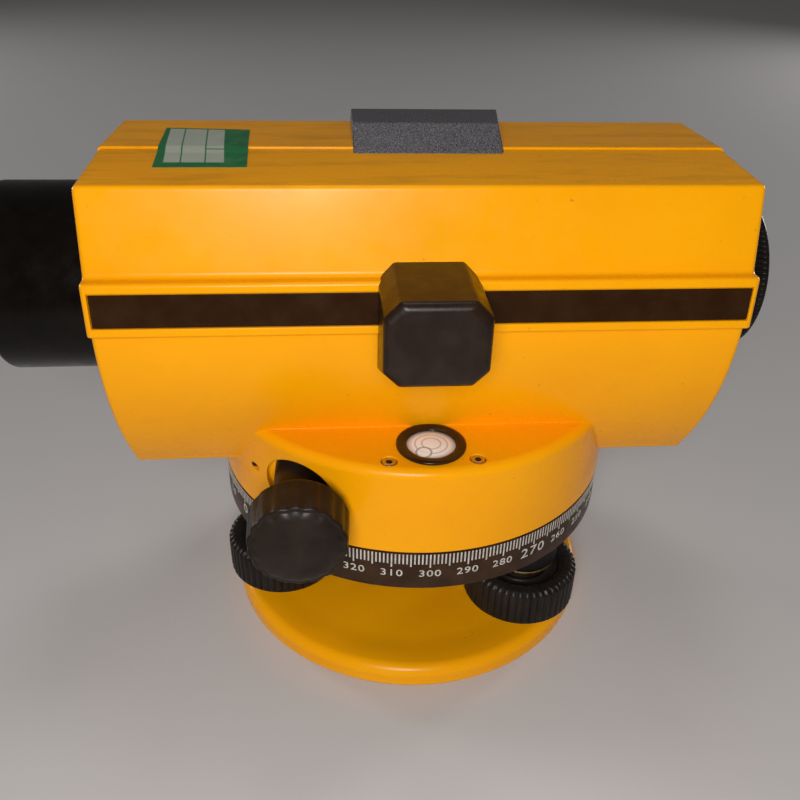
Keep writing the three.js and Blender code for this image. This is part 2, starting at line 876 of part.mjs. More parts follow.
// Casting that is turret and telescope body in one, hollow, with every bore and seat cut in it
function housing() {
  const cavity = bodySkin(bodyBack + endWall, bodyFront - endWall, bodyWall, 0, 0);
  const floorBlock = box(-turretRadius, turretRadius, -turretRadius, turretRadius, bodyBottom, floorTop);
  const rebate = coverThickness + fit;
  const coverEdge = topFlatHalfWidth + fit;
  const slotEdge = topFlatHalfWidth - coverSeat;
  const shell = cut(
    join(turretSkin(), bodyOutside(0)),
    rod(turretInner, turretBottom - overrun, floorBottom, wideSides),
    cut(cavity, floorBlock),
    box(bodyBack - overrun, bodyFront + overrun, -coverEdge, coverEdge, bodyTop - rebate, bodyTop + overrun),
    box(
      bodyBack + coverEndMargin, bodyFront - coverEndMargin,
      -slotEdge, slotEdge,
      bodyTop - bodyWall - overrun, bodyTop + overrun,
    ),
    stripePlate(fit, stripeThickness + fit, overrun),
  );
  const bossReach = turretRadius - turretWall / 2;
  const outerLimit = rod(bossReach, turretBottom, platformTop - platformRound, wideSides);
  const bosses = [-1, 1].map((side) => (
    common(driveRod(pocketRadius + pocketWall, driveBossEnd, turretRadius, side), outerLimit)));
  const pockets = [-1, 1].map((side) => driveRod(pocketRadius, pocketBack, turretRadius + overrun, side));
  const shaftHoles = [-1, 1].map((side) => (
    driveRod(driveBushRadius + fit, driveBossEnd - overrun, pocketBack + overrun, side)));
  const vialHole = rod(vialCupRadius + fit, floorBottom - overrun, platformTop + fit);
  const screwHoles = [-1, 1].map((side) => (
    rod(vialScrewRadius + fit, floorBottom - overrun, platformTop + overrun, smallSides)
      .translate(side * vialScrewSpread, -vialScrewReach, 0)));
  const barrelHoleEnd = bodyBack + endWall + fit;
  const barrelHole = alongX(rod(barrelRadius + fit, bodyBack - overrun, barrelHoleEnd, barrelSides));
  const eyeHole = alongX(rod(eyeTubeRadius + fit, bodyFront - endWall - fit, bodyFront + overrun));
  const focusBore = rod(focusBushRadius + fit, focusBushInner - overrun, focusKnobStart + overrun);
  const focusHole = crosswise(focusBore, 1);
  return cut(
    join(shell, ...bosses),
    ...pockets,
    ...shaftHoles,
    vialHole.translate(0, -vialReach, 0),
    ...screwHoles,
    barrelHole.translate(0, 0, opticHeight),
    eyeHole.translate(0, 0, opticHeight),
    focusHole.translate(cellX, 0, focusHeight),
  );
}

// Long cover that closes the top of the body between its two ridge lines
function topCover() {
  const strip = box(
    bodyBack - overrun, bodyFront + overrun,
    -topFlatHalfWidth, topFlatHalfWidth,
    bodyTop - coverThickness, bodyTop + overrun,
  );
  return common(bodyOutside(0), strip);
}

// Open sight: a bar with sloped faces on the cover
function sight() {
  const foot = bodyTop + fit;
  const outline = [
    [-sightBaseHalfWidth, foot],
    [sightBaseHalfWidth, foot],
    [sightTopHalfWidth, foot + sightHeight],
    [-sightTopHalfWidth, foot + sightHeight],
  ];
  return drawnX(outline, -sightLength / 2, sightLength / 2);
}

// Chamfered rectangle in x and z, drawn in by an inset. Its lower side falls from the front to the body.
function prismBoxRing(back, inset) {
  const wide = prismBoxHalfWidth - inset;
  const high = prismBoxTop - inset;
  const low = prismBoxTop - prismBoxHeight - (prismBoxFall * back) / prismBoxReach + inset;
  const chamfer = prismBoxChamfer;
  const loop = [
    [wide, high - chamfer],
    [wide - chamfer, high],
    [chamfer - wide, high],
    [-wide, high - chamfer],
    [-wide, low + chamfer],
    [chamfer - wide, low],
    [wide - chamfer, low],
    [wide, low + chamfer],
  ];
  return loop.map(([x, z]) => new THREE.Vector3(prismBoxX + x, back - prismBoxFront, z));
}

const prismBoxInnerBack = bandReach + prismBoxWall;
const prismWindowLeft = prismBoxX - prismBoxHalfWidth + prismBoxWall;
const prismWindowTop = prismBoxTop - prismBoxChamfer - prismBoxBevel;

// Box that shows the bubble to the observer: open below and towards the eyepiece
function prismBox() {
  const block = skinned([
    prismBoxRing(0, prismBoxBevel),
    prismBoxRing(prismBoxBevel, 0),
    prismBoxRing(prismBoxReach + prismBoxWall, 0),
  ]);
  const window = box(
    prismWindowLeft, prismBoxX + prismBoxHalfWidth + overrun,
    -prismBoxFront + prismBoxWall, -prismBoxInnerBack,
    bodyBottom, prismWindowTop,
  );
  return cut(block, bodyOutside(fit), window);
}

// Right-angle prism that fills the box's window
function bubblePrism() {
  const left = prismWindowLeft + fit;
  const right = prismBoxX + prismBoxHalfWidth - prismBoxBevel;
  const low = prismBoxTop - prismBoxHeight + prismBoxBevel;
  const high = prismWindowTop - fit;
  const outline = [
    [left, low],
    [right, low],
    [right, high],
    [right - prismBoxBevel, high],
    [left, low + prismBoxBevel],
  ];
  return drawnY(outline, -prismBoxFront + prismBoxWall + fit, -prismBoxInnerBack - fit);
}

// Circular vial, about its own axis with z = 0 on the platform
function vialCup() {
  return turned([
    [0, -vialCupDepth],
    [vialCupRadius, -vialCupDepth],
    [vialCupRadius, 0],
    [vialCupRadius - vialCupWall, 0],
    [vialCupRadius - vialCupWall, -vialCupDepth + vialCupWall],
    [0, -vialCupDepth + vialCupWall],
  ]);
}

function vialGlass() {
  return lens(vialCupRadius - vialCupWall - fit, -vialCupDepth + vialCupWall + fit, 0, 0, vialDome);
}

function vialBezel() {
  return turned([
    [bezelRadius - bezelWidth, fit],
    [bezelRadius, fit],
    [bezelRadius - bezelEdge, fit + bezelHeight],
    [bezelRadius - bezelWidth, fit + bezelHeight - bezelFall],
  ]);
}

// Adjusting screw with a hexagonal socket
function vialScrew() {
  const socket = rod(vialScrewSocket, -vialScrewLength / 2, overrun, hexSides);
  return cut(rod(vialScrewRadius, -vialScrewLength, -fit / 2, smallSides), socket);
}

const knobStart = driveKnobEnd - driveKnobLength;
const shaftReach = knobStart + driveShaftGrip;

// Drive shaft with its worm in the middle, along Z before it is laid across
function wormShaft() {
  const threads = Array.from({ length: wormTurns }, (_, i) => {
    const start = (i - wormTurns / 2) * wormPitch;
    return [
      [wormRadius - wormDepth, start],
      [wormRadius, start + wormPitch / 2 - wormCrest / 2],
      [wormRadius, start + wormPitch / 2 + wormCrest / 2],
    ];
  }).flat();
  const wormEnd = (wormTurns / 2) * wormPitch;
  return turned([
    [0, -shaftReach],
    [driveShaftRadius, -shaftReach],
    [driveShaftRadius, -wormEnd - fit],
    ...threads,
    [wormRadius - wormDepth, wormEnd],
    [driveShaftRadius, wormEnd + fit],
    [driveShaftRadius, shaftReach],
    [0, shaftReach],
  ], smallSides);
}

const driveBushOuter = driveBossEnd + driveBushLength;

function driveBush() {
  return ring(driveShaftRadius + fit, driveBushRadius, driveBossEnd, driveBushOuter);
}

// Fluted, slightly tapered drive knob with a domed end and a hub that reaches into its pocket
function driveKnob() {
  const domeStart = driveKnobEnd - driveKnobDome;
  const domeCentre = driveKnobRadius - driveKnobTaper - driveKnobDome;
  const grip = ribbed([
    [driveKnobRadius, knobStart],
    ...arc([domeCentre, domeStart], driveKnobDome, 0, 90, 2),
  ], driveKnobFlutes, driveKnobFluteDepth);
  const hub = rod(driveKnobHubRadius, driveBushOuter + fit, domeStart);
  const bore = rod(driveShaftRadius + fit, driveBushOuter - overrun, shaftReach + fit, smallSides);
  return cut(join(grip, hub), bore);
}

// Objective, along Z before it is laid along X

const objectiveRingStart = barrelFrontX + objectiveRecess;
const objectiveRingEnd = objectiveRingStart + objectiveRingLength;
const crownStart = objectiveRingEnd + fit;
const flintStart = crownStart + crownEdge + fit;
const glassRadius = lensBore - fit;
const lensSeat = flintStart + flintEdge + fit;
const barrelFlangeStart = bodyBack + endWall + 2 * fit;

function objectiveBarrel() {
  const corner = [barrelRadius - barrelEdgeRound, barrelFrontX + barrelEdgeRound];
  return turned([
    [lensBore, barrelFrontX],
    ...arc(corner, barrelEdgeRound, -90, 0, 1),
    [barrelRadius, barrelFlangeStart],
    [barrelFlangeRadius, barrelFlangeStart],
    [barrelFlangeRadius, barrelFlangeStart + barrelFlangeLength],
    [barrelSleeveRadius, barrelFlangeStart + barrelFlangeLength],
    [barrelSleeveRadius, barrelBackX],
    [stopBore, barrelBackX],
    [stopBore, lensSeat],
    [lensBore, lensSeat],
  ], barrelSides);
}

function objectiveRing() {
  return ring(glassRadius - objectiveRingWall, glassRadius, objectiveRingStart, objectiveRingEnd);
}

// Lens with its rim between two heights and a bulge on each face
function lens(radius, low, high, lowBulge, highBulge) {
  const face = (height, bulge) => lensFaceShares.map((share) => (
    [radius * share, height + bulge * (1 - share * share)]));
  return turned([...face(low, -lowBulge), ...face(high, highBulge).reverse()]);
}

// Focusing parts

const guideInner = guideRadius - guideWall;
const cellRadius = guideInner - fit;
const cellBore = cellRadius - cellWall;
const guideEndX = cellX + cellLength / 2 + focusTravel + guideOverlap;
const rackTop = focusHeight - pinionPitchRadius - pinionToothHeight - fit;

function focusGuide() {
  const flangeRadius = stopBore - fit;
  const tube = turned([
    [guideInner, barrelBackX - guideFlangeLength],
    [flangeRadius, barrelBackX - guideFlangeLength],
    [flangeRadius, barrelBackX],
    [guideRadius, barrelBackX],
    [guideRadius, guideEndX],
    [guideInner, guideEndX],
  ]);
  const halfSlot = pinionPitchRadius + pinionToothHeight + focusSlotMargin;
  const slot = box(
    cellX - halfSlot, cellX + halfSlot,
    -guideRadius - overrun, guideRadius + overrun,
    rackTop - fit, opticHeight + guideRadius + overrun,
  );
  return cut(alongX(tube).translate(0, 0, opticHeight), slot);
}

function focusCell() {
  const tube = alongX(ring(cellBore, cellRadius, cellX - cellLength / 2, cellX + cellLength / 2));
  const shaved = box(
    cellX - cellLength, cellX + cellLength,
    -cellRadius - overrun, cellRadius + overrun,
    rackTop, opticHeight + cellRadius + overrun,
  );
  return cut(tube.translate(0, 0, opticHeight), shaved);
}

const focusBushInner = bandReach - focusBushLength;
const focusKnobStart = bandReach + fit;
const focusShaftEnd = focusKnobStart + focusKnobLength - focusKnobRound;

// Pinion and its shaft, along Z before it is laid across
function focusShaft() {
  const tip = pinionPitchRadius + pinionToothHeight;
  const root = pinionPitchRadius - pinionToothHeight;
  const outline = Array.from({ length: pinionTeeth * 2 }, (_, i) => (
    polar(i % 2 ? root : tip, (Math.PI * i) / pinionTeeth)));
  const pinion = raised(outline, -pinionLength / 2, pinionLength / 2);
  return join(pinion, rod(focusShaftRadius, -pinionLength / 2 - fit, focusShaftEnd - fit, smallSides));
}

function focusKnob() {
  const end = focusKnobStart + focusKnobLength;
  const grip = ribbed([
    [focusKnobRadius, focusKnobStart],
    [focusKnobRadius, end - focusKnobRound],
    [focusKnobRadius - focusKnobRound, end],
  ], focusKnobRibs, focusKnobRibDepth);
  const face = rod(focusKnobRadius - 2 * focusKnobRound, end - focusKnobRibDepth, end + overrun);
  const bore = rod(focusShaftRadius + fit, focusKnobStart - overrun, focusShaftEnd, smallSides);
  return cut(grip, face, bore);
}

// Compensator: a frame on the floor and a prism carrier hung in it

function compensatorFrame() {
  const foot = floorTop + fit;
  const outer = box(frameX, frameX + frameLength, -frameHalfWidth, frameHalfWidth, foot, frameTop);
  const inner = box(
    frameX - overrun, frameX + frameLength + overrun,
    -frameHalfWidth + frameThickness, frameHalfWidth - frameThickness,
    foot + frameThickness, frameTop - frameThickness,
  );
  return cut(outer, inner);
}

const pendulumX = frameX + frameLength / 2;
const pendulumTop = frameTop - frameThickness - tapeLength;
const pendulumHole = pendulumHalfWidth - pendulumWall;

function pendulum() {
  const back = pendulumX - pendulumLength / 2;
  const front = pendulumX + pendulumLength / 2;
  const outer = box(back, front, -pendulumHalfWidth, pendulumHalfWidth, pendulumBottom, pendulumTop);
  const inner = box(
    back - overrun, front + overrun,
    -pendulumHole, pendulumHole,
    opticHeight - pendulumHole, opticHeight + pendulumHole,
  );
  return join(cut(outer, inner), tape(-1), tape(1));
}

// One of the two thin tapes that hang the pendulum, clamped in its top
function tape(side) {
  const y = side * (pendulumHalfWidth - tapeHalfWidth);
  return box(
    pendulumX - tapeThickness / 2, pendulumX + tapeThickness / 2,
    y - tapeHalfWidth / 2, y + tapeHalfWidth / 2,
    pendulumTop - fit, frameTop - frameThickness - fit,
  );
}

function pendulumPrism() {
  const half = pendulumHole - fit;
  const back = pendulumX - pendulumLength / 2;
  const front = pendulumX + pendulumLength / 2;
  const outline = [
    [back, opticHeight - half],
    [front, opticHeight - half],
    [pendulumX + half / 2, opticHeight + half],
    [pendulumX - half / 2, opticHeight + half],
  ];
  return drawnY(outline, -half, half);
}

function dampingMagnet() {
  const foot = floorTop + fit + frameThickness + fit;
  return rod(magnetRadius, foot, pendulumBottom - 2 * fit).translate(pendulumX, 0, 0);
}

// Eyepiece, along Z before it is laid along X

const eyeTubeInner = eyeTubeRadius - eyeTubeWall;
const eyeCellRadius = eyeTubeInner - fit;
const eyeRingStart = bodyFront + eyeRingTravel + fit;
const eyeWebStart = eyeTubeEndX + eyeRingTravel + fit;
const eyeWebEnd = eyeWebStart + eyeRingWeb;

function eyepieceTube() {
  const flangeEnd = bodyFront - endWall - 2 * fit;
  return turned([
    [eyeTubeInner, eyeTubeStartX],
    [eyeTubeRadius, eyeTubeStartX],
    [eyeTubeRadius, flangeEnd - eyeTubeFlangeLength],
    [eyeTubeFlangeRadius, flangeEnd - eyeTubeFlangeLength],
    [eyeTubeFlangeRadius, flangeEnd],
    [eyeTubeRadius, flangeEnd],
    [eyeTubeRadius, eyeTubeEndX],
    [eyeTubeInner, eyeTubeEndX],
  ]);
}

// Ribbed dioptre ring, dished at the end for the eye
function dioptreRing() {
  const grip = ribbed([
    [eyeRingRadius, eyeRingStart],
    [eyeRingRadius, eyeRingEndX - eyeRingRibDepth],
    [eyeRingRadius - eyeRingRibDepth, eyeRingEndX],
  ], eyeRingRibs, eyeRingRibDepth);
  const bore = turned([
    [0, eyeRingStart - overrun],
    [eyeTubeRadius + fit, eyeRingStart - overrun],
    [eyeTubeRadius + fit, eyeWebStart],
    [eyeTubeInner, eyeWebStart],
    [eyeTubeInner, eyeWebEnd],
    [eyeRingRadius - eyeRingLip, eyeRingEndX],
    [eyeRingRadius - eyeRingLip, eyeRingEndX + overrun],
    [0, eyeRingEndX + overrun],
  ]);
  return cut(grip, bore);
}

function eyepieceCell() {
  return ring(eyeCellRadius - eyeCellWall, eyeCellRadius, eyeCellStartX, eyeWebEnd);
}

// Assembly

const onAxis = [0, 0, opticHeight];
const sideNames = { near: -1, far: 1 };

add("base_plate", basePlate(), "paint");
add("spring_plate", springPlate(), "steel");
springScrewPlaces.forEach(([x, y], i) => {
  add(`spring_screw_${i + 1}`, panScrew(), "steel", [x, y, springTop + fit]);
});
feet.forEach(([x, y], i) => {
  add(`ball_seat_${i + 1}`, ballSeat(), "nylon", [x, y, 0]);
  add(`foot_stud_${i + 1}`, footStud(), "steel", [x, y, 0]);
  add(`foot_knob_${i + 1}`, footKnob(), "knobBlack", [x, y, 0]);
  add(`foot_nut_${i + 1}`, footNut(), "bronze", [x, y, 0]);
});
add("tribrach", tribrach(), "paint");
add("spindle_bush", spindleBush(), "bronze");
add("horizontal_circle", horizontalCircle(), "satinBlack");
add("friction_washer", frictionWasher(), "steel");
add("worm_wheel", wormWheel(), "bronze");
add("spindle", spindle(), "steel");
add("spindle_nut", spindleNut(), "steel");
add("housing", housing(), "paint");
add("top_cover", topCover(), "paint");
add("sight", sight(), "satinBlack");
add("side_stripe", stripePlate(0, stripeThickness, 0), "stripeBrown");
add("prism_box", prismBox(), "satinBlack");
add("bubble_prism", bubblePrism(), "glass");

const vialPlace = [0, -vialReach, platformTop];
add("vial_cup", vialCup(), "aluminium", vialPlace);
add("vial_glass", vialGlass(), "glass", vialPlace);
add("vial_bezel", vialBezel(), "satinBlack", vialPlace);
Object.entries({ left: -1, right: 1 }).forEach(([name, side]) => {
  add(`vial_screw_${name}`, vialScrew(), "steel", [side * vialScrewSpread, -vialScrewReach, platformTop]);
});

add("worm_shaft", crosswise(wormShaft(), 1), "steel", [driveX, 0, driveHeight]);
Object.entries(sideNames).forEach(([name, side]) => {
  add(`shaft_bush_${name}`, crosswise(driveBush(), side), "bronze", [driveX, 0, driveHeight]);
  add(`drive_knob_${name}`, crosswise(driveKnob(), side), "knobBlack", [driveX, 0, driveHeight]);
});

add("objective_barrel", alongX(objectiveBarrel()), "satinBlack", onAxis);
add("objective_ring", alongX(objectiveRing()), "satinBlack", onAxis);
const crown = lens(glassRadius, crownStart, crownStart + crownEdge, crownBulge, 0);
const flint = lens(glassRadius, flintStart, flintStart + flintEdge, 0, flintBulge);
add("crown_lens", alongX(crown), "glass", onAxis);
add("flint_lens", alongX(flint), "glass", onAxis);

add("focus_guide", focusGuide(), "satinBlack");
add("focus_cell", focusCell(), "bronze");
const focusFace = focusLensEdge / 2;
const focusGlass = lens(cellBore - fit, -focusFace, focusFace, focusLensBulge, focusLensBulge);
add("focus_lens", alongX(focusGlass), "glass", [cellX, 0, opticHeight]);
add("focus_shaft", crosswise(focusShaft(), 1), "steel", [cellX, 0, focusHeight]);
const focusBush = ring(focusShaftRadius + fit, focusBushRadius, focusBushInner, bandReach);
add("focus_bush", crosswise(focusBush, 1), "bronze", [cellX, 0, focusHeight]);
add("focus_knob", crosswise(focusKnob(), 1), "knobBlack", [cellX, 0, focusHeight]);

add("compensator_frame", compensatorFrame(), "aluminium");
add("pendulum", pendulum(), "bronze");
add("pendulum_prism", pendulumPrism(), "glass");
add("damping_magnet", dampingMagnet(), "steel");

add("eyepiece_tube", alongX(eyepieceTube()), "satinBlack", onAxis);
add("reticle", alongX(rod(eyeCellRadius, reticleX, reticleX + reticleThickness)), "glass", onAxis);
add("dioptre_ring", alongX(dioptreRing()), "satinBlack", onAxis);
add("eyepiece_cell", alongX(eyepieceCell()), "satinBlack", onAxis);
const eyeGlassRadius = eyeCellRadius - eyeCellWall - fit;
const eyeGlass = lens(eyeGlassRadius, eyeLensX, eyeLensX + eyeLensEdge, eyeLensBulge, eyeLensBulge);
add("eye_lens", alongX(eyeGlass), "glass", onAxis);

export default level;
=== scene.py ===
import math

import bmesh
import bpy
import numpy as np
from mathutils import Matrix


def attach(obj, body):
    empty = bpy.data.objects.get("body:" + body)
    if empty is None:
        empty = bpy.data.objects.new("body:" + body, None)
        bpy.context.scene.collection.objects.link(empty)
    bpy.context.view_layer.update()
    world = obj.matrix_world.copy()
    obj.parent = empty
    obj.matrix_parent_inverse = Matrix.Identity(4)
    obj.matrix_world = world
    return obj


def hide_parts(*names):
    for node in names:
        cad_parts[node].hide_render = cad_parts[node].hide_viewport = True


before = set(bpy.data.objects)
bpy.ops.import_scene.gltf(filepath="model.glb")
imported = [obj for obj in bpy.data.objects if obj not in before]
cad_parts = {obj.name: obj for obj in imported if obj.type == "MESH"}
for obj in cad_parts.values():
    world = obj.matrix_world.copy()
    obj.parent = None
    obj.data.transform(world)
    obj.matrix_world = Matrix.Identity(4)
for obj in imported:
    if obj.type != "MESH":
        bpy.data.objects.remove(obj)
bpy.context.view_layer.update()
mm = 0.001  # pieces are worked out in millimetres


class Sizes(dict):
    # a dictionary whose entries can also be read as names
    __getattr__ = dict.__getitem__


def linked(name, data):
    made = bpy.data.objects.new(name, data)
    bpy.context.scene.collection.objects.link(made)
    return made


# camera, fitted to the photograph's circles and straight edges
cameraView = Sizes(
    place=(-22.75, -211.33, 194.9), azimuth=-5.06, elevation=31.47, roll=1.42, lens=36.0, sensor=36, near=0.01,
)


def makeCamera(c):
    az, el, roll = (math.radians(v) for v in (c.azimuth, c.elevation, c.roll))
    look = np.array([-math.sin(az) * math.cos(el), math.cos(az) * math.cos(el), -math.sin(el)])
    side = np.cross(look, [0, 0, 1])
    side /= np.linalg.norm(side)
    up = np.cross(side, look)
    turnedSide = math.cos(roll) * side + math.sin(roll) * up
    turnedUp = math.cos(roll) * up - math.sin(roll) * side
    data = bpy.data.cameras.new("camera")
    data.lens = c.lens
    data.sensor_width = c.sensor
    data.clip_start = c.near
    camera = linked("camera", data)
    pose = np.eye(4)
    pose[:3, :3] = np.column_stack([turnedSide, turnedUp, -look])
    pose[:3, 3] = np.array(c.place) * mm
    camera.matrix_world = Matrix(pose.tolist())
    bpy.context.scene.camera = camera


makeCamera(cameraView)
print("camera ready")

# shapes are worked out as whole arrays of points
mergeWithin, flatWithin = 2e-6, 1e-7  # metres
softAngle = 32  # edges sharper than this many degrees stay sharp


def softCorners(points, cut, steps=5, closed=True):
    # each corner is swapped for a parabola between two points that lie "cut" before and after it
    p = np.asarray(points, float)
    cut = np.broadcast_to(np.asarray(cut, float), len(p)).astype(float)
    toPrev = np.roll(p, 1, 0) - p
    toNext = np.roll(p, -1, 0) - p
    lenPrev = np.linalg.norm(toPrev, axis=1)
    lenNext = np.linalg.norm(toNext, axis=1)
    reach = np.minimum(cut, 0.49 * np.minimum(lenPrev, lenNext))  # just under half, so that neighbours don't meet
    if not closed:
        reach[[0, -1]] = 0
    a = p + toPrev / lenPrev[:, None] * reach[:, None]
    b = p + toNext / lenNext[:, None] * reach[:, None]
    t = np.linspace(0, 1, steps + 1)[None, :, None]
    curve = (1 - t) ** 2 * a[:, None] + 2 * t * (1 - t) * p[:, None] + t ** 2 * b[:, None]
    if closed:
        return curve.reshape(-1, 2)
    inner = curve[1:-1].reshape(-1, 2)
    return np.vstack([p[:1], inner, p[-1:]])


def curveBetween(a, corner, b, steps):
    # parabola from a to b that heads for the corner
    t = np.linspace(0, 1, steps + 1)[:, None]
    return (1 - t) ** 2 * np.array(a) + 2 * t * (1 - t) * np.array(corner) + t ** 2 * np.array(b)


def spun(profile, sides=160, ripple=None):
    # a profile of (radius, height) turned about Z; ripple(angle, row) gives what is taken off each radius
    profile = np.asarray(profile, float)
    angle = np.linspace(0, 2 * np.pi, sides, endpoint=False)[None, :]
    radius = np.repeat(profile[:, :1], sides, 1)
    if ripple is not None:
        radius = radius - ripple(angle, profile)
    height = np.repeat(profile[:, 1:2], sides, 1)
    return np.stack([radius * np.cos(angle), radius * np.sin(angle), height], -1)


def alongX(grid):
    # Z of the shape is laid on +X
    return np.stack([grid[..., 2], grid[..., 1], -grid[..., 0]], -1)


def alongY(grid, side=1):
    # Z of the shape is laid on +Y, or on -Y with side -1
    return np.stack([grid[..., 0], side * grid[..., 2], -side * grid[..., 1]], -1)


def gridFaces(rows, columns, wrapRows):
    # four corners of each cell; the columns always close on themselves
    r = np.arange(rows if wrapRows else rows - 1)[:, None]
    c = np.arange(columns)[None, :]
    r2 = (r + 1) % rows
    c2 = (c + 1) % columns
    quads = np.stack([r * columns + c, r * columns + c2, r2 * columns + c2, r2 * columns + c], -1)
    return quads.reshape(-1, 4).tolist()


def meshFrom(name, points, faces):
    mesh = bpy.data.meshes.new(name)
    mesh.from_pydata((np.asarray(points) * mm).tolist(), [], faces)
    return mesh


def facedOut(mesh, merge=True):
    work = bmesh.new()
    work.from_mesh(mesh)
    if merge:
        bmesh.ops.remove_doubles(work, verts=work.verts, dist=mergeWithin)
        bmesh.ops.dissolve_degenerate(work, edges=work.edges, dist=flatWithin)
    bmesh.ops.recalc_face_normals(work, faces=work.faces)
    work.to_mesh(mesh)
    work.free()
    return mesh


def meshOf(name, grids, wrapRows=False, capped=True):
    # one mesh from one or more grids of points, each closed by its own rows or by a cap at both ends
    points, faces, start = [], [], 0
    for grid in grids:
        rows, columns = grid.shape[:2]
        points.append(grid.reshape(-1, 3))
        cells = gridFaces(rows, columns, wrapRows)
        if capped and not wrapRows:
            cells.append(list(range(columns))[::-1])
            cells.append(list(range((rows - 1) * columns, rows * columns)))
        faces += [[i + start for i in f] for f in cells]
        start += rows * columns
    return facedOut(meshFrom(name, np.vstack(points), faces))


def put(name, mesh, look, body, nodes=(), angle=softAngle, weighted=False):
    mesh.shade_smooth()
    mesh.set_sharp_from_angle(angle=math.radians(angle))
    mesh.materials.clear()
    mesh.materials.append(look)
    piece = linked(name, mesh)
    if weighted:
        piece.modifiers.new("flats", "WEIGHTED_NORMAL").keep_sharp = True
    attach(piece, body)
    if nodes:
        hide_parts(*nodes)
    return piece


def worked(first, joined=(), common=(), cut=()):
    # joins, keeps the common part and cuts, in this order, one tool mesh after the other
    target = linked("blank", first)
    for how, tools in (("UNION", joined), ("INTERSECT", common), ("DIFFERENCE", cut)):
        for tool in tools:
            cutter = linked("tool", tool)
            step = target.modifiers.new("step", "BOOLEAN")
            step.operation = how
            step.solver = "EXACT"
            step.object = cutter
            seen = target.evaluated_get(bpy.context.evaluated_depsgraph_get())
            made = bpy.data.meshes.new_from_object(seen)
            target.modifiers.clear()
            target.data = made
            bpy.data.objects.remove(cutter)
    bpy.data.objects.remove(target)
    return made


def rodMesh(radius, low, high, sides=96, turn=None, shift=(0, 0, 0), soft=0):
    profile = [[0, low], [radius, low], [radius, high], [0, high]]
    if soft:
        profile = softCorners(profile, [0, soft, soft, 0], closed=False)
    grid = spun(profile, sides)
    if turn is not None:
        grid = turn(grid)
    return meshOf("rod", [grid + np.array(shift)], capped=False)


def boxMesh(low, high):
    low, high = np.array(low, float), np.array(high, float)
    square = [[0, 0], [1, 0], [1, 1], [0, 1]]
    corner = np.array([[[x, y, z] for x, y in square] for z in (0, 1)], float)
    return meshOf("box", [low + corner * (high - low)])


# finishes
middle = (0.3, 0.7)  # most values of a noise lie between these


class Finish:
    # a new material with the steps that the finishes share; "where" is the object's own place in metres
    def __init__(self, name):
        self.look = bpy.data.materials.new(name)
        self.look.use_nodes = True
        self.tree = self.look.node_tree
        self.shader = self.tree.nodes["Principled BSDF"]
        self.where = self.node("TexCoord").outputs["Object"]

    def node(self, kind):
        return self.tree.nodes.new("ShaderNode" + kind)

    def given(self, socket, value):
        # numbers and colours are set on the socket, another node's output is linked into it
        if isinstance(value, bpy.types.NodeSocket):
            self.tree.links.new(value, socket)
        elif isinstance(value, tuple) and socket.type == "RGBA":
            socket.default_value = (*value, 1)
        else:
            socket.default_value = value

    def feed(self, **values):
        # shader inputs by name, with an underscore for each space
        for name, value in values.items():
            self.given(self.shader.inputs[name.replace("_", " ")], value)

    def noise(self, scale, detail=3, rough=0.55, stretch=None):
        where = self.where
        if stretch is not None:
            mapping = self.node("Mapping")
            mapping.inputs["Scale"].default_value = stretch
            self.given(mapping.inputs["Vector"], where)
            where = mapping.outputs["Vector"]
        node = self.node("TexNoise")
        for name, value in (("Scale", scale), ("Detail", detail), ("Roughness", rough), ("Vector", where)):
            self.given(node.inputs[name], value)
        return node.outputs["Fac"]

    def ramp(self, value, low, high, fromValue=0.0, toValue=1.0):
        node = self.node("MapRange")
        sockets = ("From Min", "From Max", "To Min", "To Max", "Value")
        for name, given in zip(sockets, (low, high, fromValue, toValue, value)):
            self.given(node.inputs[name], given)
        return node.outputs["Result"]

    def maths(self, operation, *values):
        node = self.node("Math")
        node.operation = operation
        for socket, value in zip(node.inputs, values):
            self.given(socket, value)
        return node.outputs[0]

    def times(self, a, b):
        return self.maths("MULTIPLY", a, b)

    def blended(self, amount, first, second):
        node = self.node("Mix")
        node.data_type = "RGBA"
        for index, value in ((0, amount), (6, first), (7, second)):  # the factor and the node's two colours
            self.given(node.inputs[index], value)
        return node.outputs[2]

    def bumped(self, height, strength, distance, edge=0.0):
        # bump over the shader's normal, which a bevel eases at the edges where "edge" is given
        node = self.node("Bump")
        node.inputs["Strength"].default_value = strength
        node.inputs["Distance"].default_value = distance
        self.given(node.inputs["Height"], height)
        if edge:
            bevel = self.node("Bevel")
            bevel.samples = 6
            bevel.inputs["Radius"].default_value = edge
            self.given(node.inputs["Normal"], bevel.outputs["Normal"])
        self.feed(Normal=node.outputs["Normal"])


orangePaint = Sizes(
    colour=(0.95, 0.385, 0.0015), shade=(0.89, 0.345, 0.0012), grime=(0.28, 0.12, 0.01), speck=(0.42, 0.17, 0.01),
    driftScale=22, smearScale=110, smearStretch=(0.22, 1.5, 1), smearFrom=0.139, smearFull=0.1435, smearShare=0.42,
    speckScale=620, speckShare=0.6, roughness=0.24, shine=0.13, coat=0.04, coatRoughness=0.2,
    peel=0.10, peelScale=1100, peelDepth=0.00005, edge=0.0005,
)


